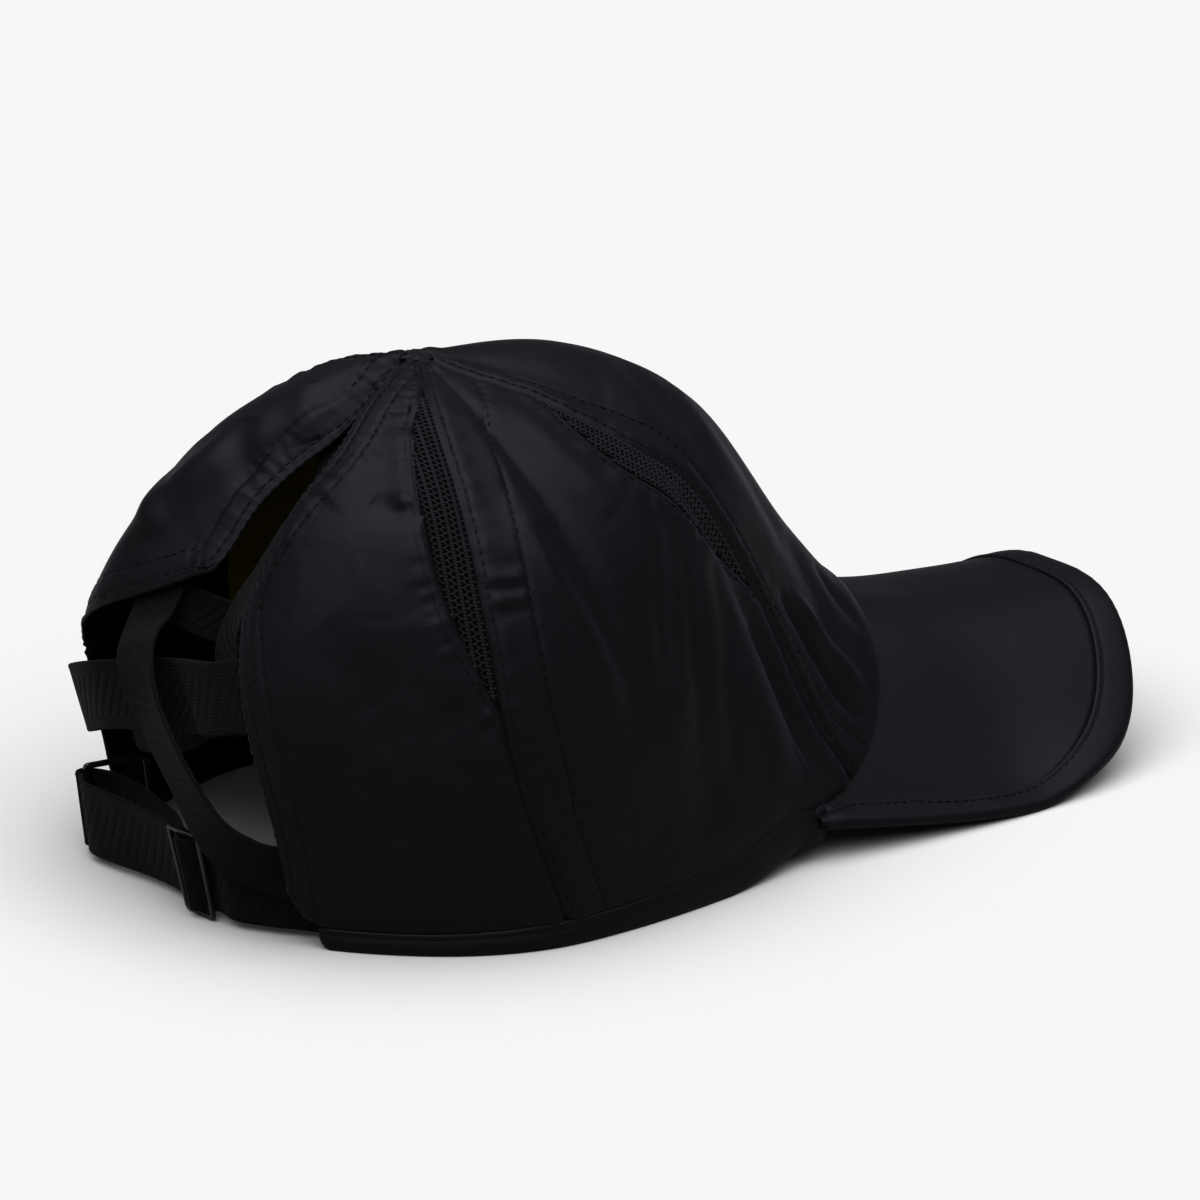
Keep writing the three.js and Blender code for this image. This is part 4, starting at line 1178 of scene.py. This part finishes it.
rings = np.stack([border_line(share, height) for share, height in BORDER_PROFILE], axis=1)
ends = 1 - smoothstep(1 - np.abs(across), 0, BORDER["ends"])
rings[:, DROPPED_ROWS, 2] -= BORDER["ends_drop"] * ends[:, None]
edge_run = run_along(rings[:, CREST_ROW])
ripple = BORDER["ripple"] * np.sin(2 * math.pi * edge_run / BORDER["ripple_pitch"])
rings[:, RIPPLED_ROWS, 2] += ripple[:, None]
border = swept("brim_border", rings, edge_run, brim_cloth)
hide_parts("brim_binding")
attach(border, "root")

# Hem binding: the same bias strip round the crown's lower edge, from the brim to the ponytail opening.
# It rests on the ground and is sewn down in a groove near its upper edge. It stands out over the stacked
# cloth at the brim's root, and its other end is rounded off.
# millimetres, but start is in degrees, and end_share is how much of the section is left at the rounded end
BINDING = {"lap": 0.35, "set_in": 0.35, "thinner": 0.5, "start": 1, "end": 3.5, "end_share": 0.15}
# thickness of the stacked cloth in millimetres, and how far round it reaches in degrees
STACKED = {"thickness": 1.3, "reach": 2.2}
# share of its height, share of its wall inwards from the outer face
HEM_PROFILE = [
    (0.0, 0.55),
    (0.03, 0.2),
    (0.16, 0.02),
    (0.4, -0.16),
    (0.66, -0.1),
    (0.76, 0.14),
    (0.84, 0.0),
    (0.95, 0.05),
    (1.0, 0.35),
    (1.0, 0.75),
    (0.9, 1.0),
    (0.5, 1.0),
    (0.1, 1.0),
]
# rows of the profile: the one that stands out most, and the upper one inside
OUTER_ROW = 3
INNER_ROW = 10
for side, label in ((-1, "right"), (1, "left")):
    corner = along(FREE_EDGES[side], 1, 1)
    last = corner - turn_for(side * corner, 1, HEM["set_back"])
    angle = side * np.linspace(BRIM["root_angle"] * BOARD_SPREAD + BINDING["start"], last, 200)
    edge = lower_edge(angle) - HEM["gap"]
    top = edge + BINDING["lap"]
    under_brim = edge - hem_tall(BRIM["root_angle"])
    foot = np.where(np.abs(angle) < BRIM["root_angle"], under_brim, hem_floor(angle))
    stacked = STACKED["thickness"] * swell(np.abs(angle) - BRIM["root_angle"], STACKED["reach"])
    face = hem_reach(angle) - BINDING["set_in"] + stacked
    rings = []
    for share, inward in HEM_PROFILE:
        distance = face - (HEM["wall"] - BINDING["thinner"]) * inward
        rings.append(plan_point(angle, distance, foot + (top - foot) * share))
    rings = np.stack(rings, axis=1)
    run = run_along(rings[:, OUTER_ROW])
    to_end = np.clip((run[-1] - run) / BINDING["end"], 0, 1)
    rounding = np.sqrt(1 - (1 - to_end) ** 2)[:, None, None]
    inner = rings[:, INNER_ROW : INNER_ROW + 1]
    rings = inner + (rings - inner) * (BINDING["end_share"] + (1 - BINDING["end_share"]) * rounding)
    binding = swept("hem_border_" + label, rings, run, brim_cloth)
    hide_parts("hem_binding_" + label)
    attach(binding, "root")

# Straps: soft knitted elastic, with a smooth border and a raised slanting rib down the middle. They cross
# behind the head, and each end is caught in a panel's turned edge or the hem.
STRAP = {
    "wall": 1.1,
    "cross": 13,
    "upper": 10.5,
    "mid": 16.5,
    "low": 18.4,
    "gap": 0.45,
    "loose": 0.9,
}
# key of the width, rows of angle, level, distance off the crown as a share of the slack and tilt in
# degrees, and how slantwise the first end is cut
STRAP_ROWS = {
    "strap_cross_left": (
        "cross",
        [
            (159, 0.5, -0.72, 0),
            (164, 0.6, -0.74, 0),
            (167.5, 0.665, -0.6, 0),
            (171, 0.712, 0.45, 5),
            (175, 0.755, 1, 10),
            (181.5, 0.797, 1.1, 8),
            (191.5, 0.845, 0.75, 4),
            (201, 0.905, 0.7, 0),
            (207, 0.93, 0.15, 0),
            (212.5, 0.945, -0.72, 0),
            (219, 0.955, -0.8, 0),
        ],
        0,
    ),
    "strap_cross_right": (
        "cross",
        [
            (175, 0.2, -1.15, 0),
            (186, 0.29, -1.1, 0),
            (197, 0.42, -0.8, 0),
            (194, 0.53, -0.95, 0),
            (188, 0.6, -1.3, 0),
            (186, 0.65, -1.75, 0),
            (186.5, 0.7, -2.25, 0),
            (186, 0.76, -2.5, 0),
            (178, 0.82, -2, 0),
            (160, 0.86, -2.6, 0),
            (139, 0.88, -1.5, 0),
        ],
        0,
    ),
    "strap_upper": (
        "upper",
        [
            (156, 0.6, -1.3, 0),
            (165, 0.622, -1.35, 5),
            (173, 0.635, -1.7, 15),
            (181, 0.635, -2.5, 25),
            (191, 0.625, -3.1, 10),
            (210, 0.61, -2.4, 0),
        ],
        0,
    ),
    "strap_mid_left": (
        "mid",
        [
            (136, 0.845, -1.15, 0),
            (142.5, 0.84, -1.05, 0),
            (145.5, 0.838, -0.8, 3),
            (150, 0.83, 0.15, 8),
            (159.5, 0.806, -0.1, 8),
            (168, 0.79, -0.45, 5),
            (175.5, 0.78, -0.4, 0),
            (182.5, 0.77, -0.8, 0),
            (190, 0.752, -1.25, 0),
            (203, 0.725, -1.4, 0),
            (216, 0.705, -1.45, 0),
        ],
        0,
    ),
    "strap_mid_right": (
        "mid",
        [
            (189.5, 0.754, -0.1, 0),
            (196.5, 0.738, -0.35, 0),
            (202.5, 0.724, -0.8, 0),
            (215, 0.708, -0.85, 0),
        ],
        0.75,
    ),
}
# share across the width, share of the wall: soft rolled borders with a flat middle
STRAP_PROFILE = [
    (-1, 0),
    (-0.985, 0.62),
    (-0.93, 1),
    (-0.84, 0.86),
    (0, 0.9),
    (0.84, 0.86),
    (0.93, 1),
    (0.985, 0.62),
    (1, 0),
    (0.985, -0.62),
    (0.93, -1),
    (0.84, -0.86),
    (0, -0.9),
    (-0.84, -0.86),
    (-0.93, -1),
    (-0.985, -0.62),
]


# millimetres, where the slant is for half the width, but marked is a share of half the width
WEBBING = {"mark_pitch": 3.1, "mark_slant": 5.0, "marked": 0.62, "rib_pitch": 0.62, "wale_pitch": 0.75}


def elastic_webbing(name, width):
    """Black elastic: fine cross ribs all over, and slanting raised marks down the middle."""
    material = bpy.data.materials.new(name)
    material.use_nodes = True
    nodes, links = material.node_tree.nodes, material.node_tree.links
    shader = nodes["Principled BSDF"]
    shader.inputs["Roughness"].default_value = 0.7
    shader.inputs["Specular IOR Level"].default_value = 0.09
    shader.inputs["Sheen Weight"].default_value = 0.03
    shader.inputs["Sheen Roughness"].default_value = 0.4
    place = nodes.new("ShaderNodeTexCoord")
    split = nodes.new("ShaderNodeSeparateXYZ")
    links.new(place.outputs["UV"], split.inputs[0])

    def math_node(operation, first, second=None, third=None):
        node = nodes.new("ShaderNodeMath")
        node.operation = operation
        for k, value in enumerate((first, second, third)):
            if value is None:
                continue
            if isinstance(value, (int, float)):
                node.inputs[k].default_value = value
            else:
                links.new(value, node.inputs[k])
        return node.outputs[0]

    across, run = split.outputs[0], split.outputs[1]
    slant = math_node("MULTIPLY_ADD", across, WEBBING["mark_slant"], run)
    marks = math_node("SINE", math_node("MULTIPLY", slant, 2 * math.pi / WEBBING["mark_pitch"]))
    marks = math_node("SMOOTH_MIN", marks, 0.45, 0.3)
    inside = math_node("LESS_THAN", math_node("ABSOLUTE", across), WEBBING["marked"])
    marks = math_node("MULTIPLY", marks, inside)
    ribs = math_node("SINE", math_node("MULTIPLY", run, 2 * math.pi / WEBBING["rib_pitch"]))
    wales_across = math.pi * width / WEBBING["wale_pitch"]
    wales = math_node("SINE", math_node("MULTIPLY", across, wales_across))
    knit_height = math_node("MULTIPLY", math_node("ADD", ribs, wales), 0.3)
    height = math_node("ADD", knit_height, marks)
    bump = nodes.new("ShaderNodeBump")
    bump.inputs["Strength"].default_value = 0.8
    bump.inputs["Distance"].default_value = 0.00018
    links.new(height, bump.inputs["Height"])
    links.new(bump.outputs[0], shader.inputs["Normal"])
    blend = nodes.new("ShaderNodeMix")
    blend.data_type = "RGBA"
    blend.inputs[6].default_value = (0.0014, 0.0014, 0.0017, 1)
    blend.inputs[7].default_value = (0.0032, 0.0032, 0.0037, 1)
    links.new(math_node("MULTIPLY_ADD", marks, 0.5, 0.5), blend.inputs[0])
    links.new(blend.outputs[2], shader.inputs["Base Color"])
    return material


def ribbon(name, centres, ahead, wide, width, material):
    """A flat strap along a path: its middle, direction and width at each step, in millimetres."""
    thick = unit(np.cross(wide, ahead))
    rings = []
    for w, t in STRAP_PROFILE:
        rings.append(centres + wide * (w * width / 2) + thick * (t * STRAP["wall"] / 2))
    rings = np.stack(rings, axis=1)
    run = run_along(centres)
    piece = swept(name, rings, run, material)
    corners = np.empty(len(piece.data.loops), dtype=int)
    piece.data.loops.foreach_get("vertex_index", corners)
    share = np.tile([w for w, _ in STRAP_PROFILE], len(centres))
    uv = np.stack([share, np.repeat(run, len(STRAP_PROFILE))], axis=-1)
    uv = np.concatenate([uv, [[0, 0], [0, run[-1]]]])
    piece.data.uv_layers["cloth"].data.foreach_set("uv", uv[corners].ravel())
    return piece


def centripetal(points, steps):
    """Points and directions along a smooth curve through some points."""
    points = np.asarray(points, float)
    padded = np.concatenate([[2 * points[0] - points[1]], points, [2 * points[-1] - points[-2]]])
    out = []
    for part in np.linspace(0, 1, steps):
        at = part * (len(points) - 1)
        k = min(int(at), len(points) - 2)
        t = at - k
        p = padded[k : k + 4]
        d = np.maximum(np.sqrt(np.linalg.norm(np.diff(p, axis=0), axis=1)), 1e-4)
        m1 = ((p[1] - p[0]) / d[0] - (p[2] - p[0]) / (d[0] + d[1]) + (p[2] - p[1]) / d[1]) * d[1]
        m2 = ((p[2] - p[1]) / d[1] - (p[3] - p[1]) / (d[1] + d[2]) + (p[3] - p[2]) / d[2]) * d[1]
        out.append(between(t, p[1], m1, p[2], m2))
    out = np.array(out)
    return out, unit(np.gradient(out, axis=0))


STRAP_STEPS = 160
webbing = {}
for key in ("cross", "upper", "mid", "low"):
    webbing[key] = elastic_webbing("elastic_" + key, STRAP[key])
for name, (key, rows, slant) in STRAP_ROWS.items():
    angle, level, off, tilt = np.array(rows, float).T
    centres, ahead = centripetal(crown_point(angle, level, off * CROWN["slack"]), STRAP_STEPS)
    part = np.linspace(0, len(rows) - 1, STRAP_STEPS)
    row_normals = crown_normal(angle, level)
    keys = np.arange(len(rows))
    outwards = np.stack([np.interp(part, keys, row_normals[:, k]) for k in range(3)], axis=-1)
    wide = unit(np.cross(ahead, outwards))
    lean = np.radians(along(np.column_stack([keys, tilt]), 1, part))[:, None]
    wide = wide * np.cos(lean) + np.cross(ahead, wide) * np.sin(lean)
    slide = slant * (1 - np.linspace(0, 1, STRAP_STEPS))[:, None]
    strap = ribbon(name + "_webbing", centres, ahead, wide + ahead * slide, STRAP[key], webbing[key])
    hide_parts(name)
    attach(strap, "root")

# Low strap: the adjustable one. It comes out of the right panel, threads the slider, runs round the ring at
# the left hem and comes back behind itself to the slider's middle bar.
# angle, distance off the hem's reach as a share of the slack
LOW_RIGHT = [(222, -1.3), (213, -1.25), (206.5, -0.7), (200, -0.1)]
LOW_OUTER = [(179, -0.65), (170, -0.35), (161, 0.7), (155, 1.6)]
LOW_INNER = [(151, -0.1), (160, -1.6), (171, -1.9), (179, -1.6)]
RING_SPOT = (150.5, 1.3)
RING_BAR = 1.3
RING_TURNS = (210, 165, 120, 75, 30)
SLIDER = {"height": 21.8, "width": 11, "bar": 1.2, "angle": -170, "off": 0.1, "stand": 0.2}
# across as a share of the crown's half width, lean in degrees
FLARE = np.array([(-0.45, 0), (-0.25, 11), (0.15, 11), (0.4, 6), (0.7, 5)])
low_middle = SLIDER["stand"] + SLIDER["height"] / 2


def low_point(angle, off):
    angle = np.asarray(angle, float)
    return plan_point(angle, hem_reach(angle) + off * CROWN["slack"], low_middle)


def slider_point(onwards, outwards):
    turned = math.radians(SLIDER["angle"])
    ahead = np.array([-math.cos(turned), -math.sin(turned), 0])
    middle = low_point(SLIDER["angle"], SLIDER["off"])
    return middle + ahead * onwards + plan_point(SLIDER["angle"], outwards, 0)


pitch = (SLIDER["width"] - SLIDER["bar"]) / 2
beside_bar = (SLIDER["bar"] + STRAP["wall"]) / 2 + STRAP["loose"]
layer = STRAP["wall"] + STRAP["gap"]
round_bar = (RING_BAR + STRAP["wall"]) / 2 + STRAP["loose"]
low_path = [
    *(low_point(*row) for row in LOW_RIGHT),
    slider_point(-pitch, -beside_bar),
    slider_point(0, beside_bar),
    slider_point(pitch, -beside_bar),
    *(low_point(*row) for row in LOW_OUTER),
    *(low_point(*RING_SPOT) + round_bar * plan_point(turn, 1, 0) for turn in RING_TURNS),
    *(low_point(*row) for row in LOW_INNER),
    slider_point(pitch, -beside_bar - layer),
    slider_point(-SLIDER["bar"] / 2, -beside_bar - STRAP["gap"]),
]
centres, ahead = centripetal(low_path, steps=420)
wide = np.tile([0.0, 0.0, 1.0], (len(centres), 1))
low_strap = ribbon("strap_low_webbing", centres, ahead, wide, STRAP["low"], webbing["low"])
for vertex in low_strap.data.vertices:
    spot = np.array([vertex.co.x - axis.x, vertex.co.y - axis.y, 0]) / MM
    lean = math.radians(along(FLARE, 1, spot[0] / CROWN["half_width"]))
    shift = unit(spot) * (vertex.co.z / MM - low_middle) * math.tan(lean) * MM
    vertex.co.x += shift[0]
    vertex.co.y += shift[1]
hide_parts("strap_low")
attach(low_strap, "root")

# Slider and ring: moulded glossy plastic frames. The slider sets the low strap's length, the ring is
# sewn into the left hem.
gloss = bpy.data.materials.new("moulded_gloss")
gloss.use_nodes = True
gloss_nodes, gloss_links = gloss.node_tree.nodes, gloss.node_tree.links
gloss_shader = gloss_nodes["Principled BSDF"]
gloss_shader.inputs["Base Color"].default_value = (0.006, 0.006, 0.007, 1)
gloss_place = gloss_nodes.new("ShaderNodeTexCoord")
flow = gloss_nodes.new("ShaderNodeTexNoise")
flow.inputs["Scale"].default_value = 400
gloss_links.new(gloss_place.outputs["Object"], flow.inputs["Vector"])
spread = gloss_nodes.new("ShaderNodeMapRange")
spread.inputs["To Min"].default_value = 0.16
spread.inputs["To Max"].default_value = 0.3
gloss_links.new(flow.outputs["Fac"], spread.inputs["Value"])
gloss_links.new(spread.outputs["Result"], gloss_shader.inputs["Roughness"])
for node in ("slider", "strap_ring"):
    copy = bmesh.new()
    copy.from_mesh(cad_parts[node].data)
    bmesh.ops.remove_doubles(copy, verts=copy.verts, dist=2e-6)
    bmesh.ops.dissolve_limit(copy, angle_limit=math.radians(2), verts=copy.verts, edges=copy.edges)
    mesh = bpy.data.meshes.new(node + "_moulded")
    copy.to_mesh(mesh)
    copy.free()
    mesh.materials.clear()
    mesh.materials.append(gloss)
    moulded = bpy.data.objects.new(node + "_moulded", mesh)
    bpy.context.collection.objects.link(moulded)
    bevel = moulded.modifiers.new("edges", "BEVEL")
    bevel.width = 0.00035
    bevel.segments = 2
    bevel.limit_method = "ANGLE"
    bevel.angle_limit = math.radians(35)
    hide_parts(node)
    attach(moulded, "root")

# Stitching: black thread in even rows along every seam, hem and border. Each row is a line snapped to the
# cloth, with one short thread at each step along it.
STITCH = {"pitch": 2.5, "length": 1.8, "thread": 0.46, "proud": 0.05}
# a point inside the crown, in millimetres, from which the cloth's outer face looks away
INSIDE = np.array([0, 0, 40.0])
thread = woven_cloth(
    "sewing_thread", (0.003, 0.003, 0.0035), (0.006, 0.006, 0.007), roughness=0.6, sheen=0.0
)


def stitch_tree():
    """Sets short rounded threads at even steps along lines, laid flat on the cloth."""
    tree = bpy.data.node_groups.new("stitch_row", "GeometryNodeTree")
    tree.interface.new_socket("Rows", in_out="INPUT", socket_type="NodeSocketGeometry")
    for name in ("Pitch", "Length", "Thickness"):
        tree.interface.new_socket(name, in_out="INPUT", socket_type="NodeSocketFloat")
    tree.interface.new_socket("Material", in_out="INPUT", socket_type="NodeSocketMaterial")
    tree.interface.new_socket("Stitches", in_out="OUTPUT", socket_type="NodeSocketGeometry")
    nodes, links = tree.nodes, tree.links
    source, result = nodes.new("NodeGroupInput"), nodes.new("NodeGroupOutput")
    curves = nodes.new("GeometryNodeMeshToCurve")
    even = nodes.new("GeometryNodeResampleCurve")
    even.mode = "LENGTH"
    bead = nodes.new("GeometryNodeMeshUVSphere")
    bead.inputs["Segments"].default_value = 6
    bead.inputs["Rings"].default_value = 5
    bead.inputs["Radius"].default_value = 0.5
    size = nodes.new("ShaderNodeCombineXYZ")
    shape = nodes.new("GeometryNodeTransform")
    tangent = nodes.new("GeometryNodeInputTangent")
    outward = nodes.new("GeometryNodeInputNamedAttribute")
    outward.data_type = "FLOAT_VECTOR"
    outward.inputs["Name"].default_value = "outward"
    lengthwise = nodes.new("FunctionNodeAlignRotationToVector")
    lengthwise.axis = "X"
    upright = nodes.new("FunctionNodeAlignRotationToVector")
    upright.axis = "Z"
    upright.pivot_axis = "X"
    place = nodes.new("GeometryNodeInstanceOnPoints")
    realize = nodes.new("GeometryNodeRealizeInstances")
    paint = nodes.new("GeometryNodeSetMaterial")
    links.new(source.outputs["Rows"], curves.inputs["Mesh"])
    links.new(curves.outputs["Curve"], even.inputs["Curve"])
    links.new(source.outputs["Pitch"], even.inputs["Length"])
    links.new(source.outputs["Length"], size.inputs[0])
    links.new(source.outputs["Thickness"], size.inputs[1])
    links.new(source.outputs["Thickness"], size.inputs[2])
    links.new(bead.outputs["Mesh"], shape.inputs["Geometry"])
    links.new(size.outputs[0], shape.inputs["Scale"])
    links.new(tangent.outputs[0], lengthwise.inputs["Vector"])
    links.new(lengthwise.outputs["Rotation"], upright.inputs["Rotation"])
    links.new(outward.outputs["Attribute"], upright.inputs["Vector"])
    links.new(even.outputs["Curve"], place.inputs["Points"])
    links.new(shape.outputs["Geometry"], place.inputs["Instance"])
    links.new(upright.outputs["Rotation"], place.inputs["Rotation"])
    links.new(place.outputs["Instances"], realize.inputs["Geometry"])
    links.new(realize.outputs["Geometry"], paint.inputs["Geometry"])
    links.new(source.outputs["Material"], paint.inputs["Material"])
    links.new(paint.outputs["Geometry"], result.inputs["Stitches"])
    return tree


def surface_of(*names):
    """One search tree over the cloth pieces of these names, in the row frame."""
    work = bmesh.new()
    for name in names:
        work.from_mesh(bpy.data.objects[name].data)
    found = BVHTree.FromBMesh(work)
    work.free()
    return found


rows_tree = stitch_tree()


def sew(name, lines, cloth_surface):
    """Rows of stitches along lines of points, in millimetres, snapped to the cloth's outer face."""
    points, outward, edges = [], [], []
    for line in lines:
        start = len(points)
        for point in line[::2]:
            near = Vector(point * MM) + Vector((axis.x, axis.y, 0))
            spot, normal, _, _ = cloth_surface.find_nearest(near)
            normal = -normal if normal.dot(Vector(point - INSIDE)) < 0 else normal
            on_cloth = (np.array(spot) - (axis.x, axis.y, 0)) / MM
            points.append(on_cloth + np.array(normal) * STITCH["proud"])
            outward.append(normal)
        edges += [(k, k + 1) for k in range(start, len(points) - 1)]
    piece = grown(
        name,
        points,
        edges,
        rows_tree,
        {
            "Pitch": STITCH["pitch"] * MM,
            "Length": STITCH["length"] * MM,
            "Thickness": STITCH["thread"] * MM,
            "Material": thread,
        },
        outward,
    )
    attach(piece, "root")


crown_surface = surface_of(
    "front_panel", "side_panel_right", "side_panel_left", "rear_panel_right", "rear_panel_left"
)
for side, label in ((-1, "right"), (1, "left")):
    sew(
        "stitches_" + label,
        [
            front_rows[side].points,
            front_edge_rows[side].points,
            rear_rows[side].points,
            rear_edge_rows[side].points,
            front_mesh_rows[side].points,
            rear_mesh_rows[side].points,
            *(row.points for row in hem_rows[side]),
        ],
        crown_surface,
    )
border_row = border_line(BORDER_STITCHES["share"], BORDER_STITCHES["lift"])
sew("stitches_brim", [border_row], surface_of("brim_border"))
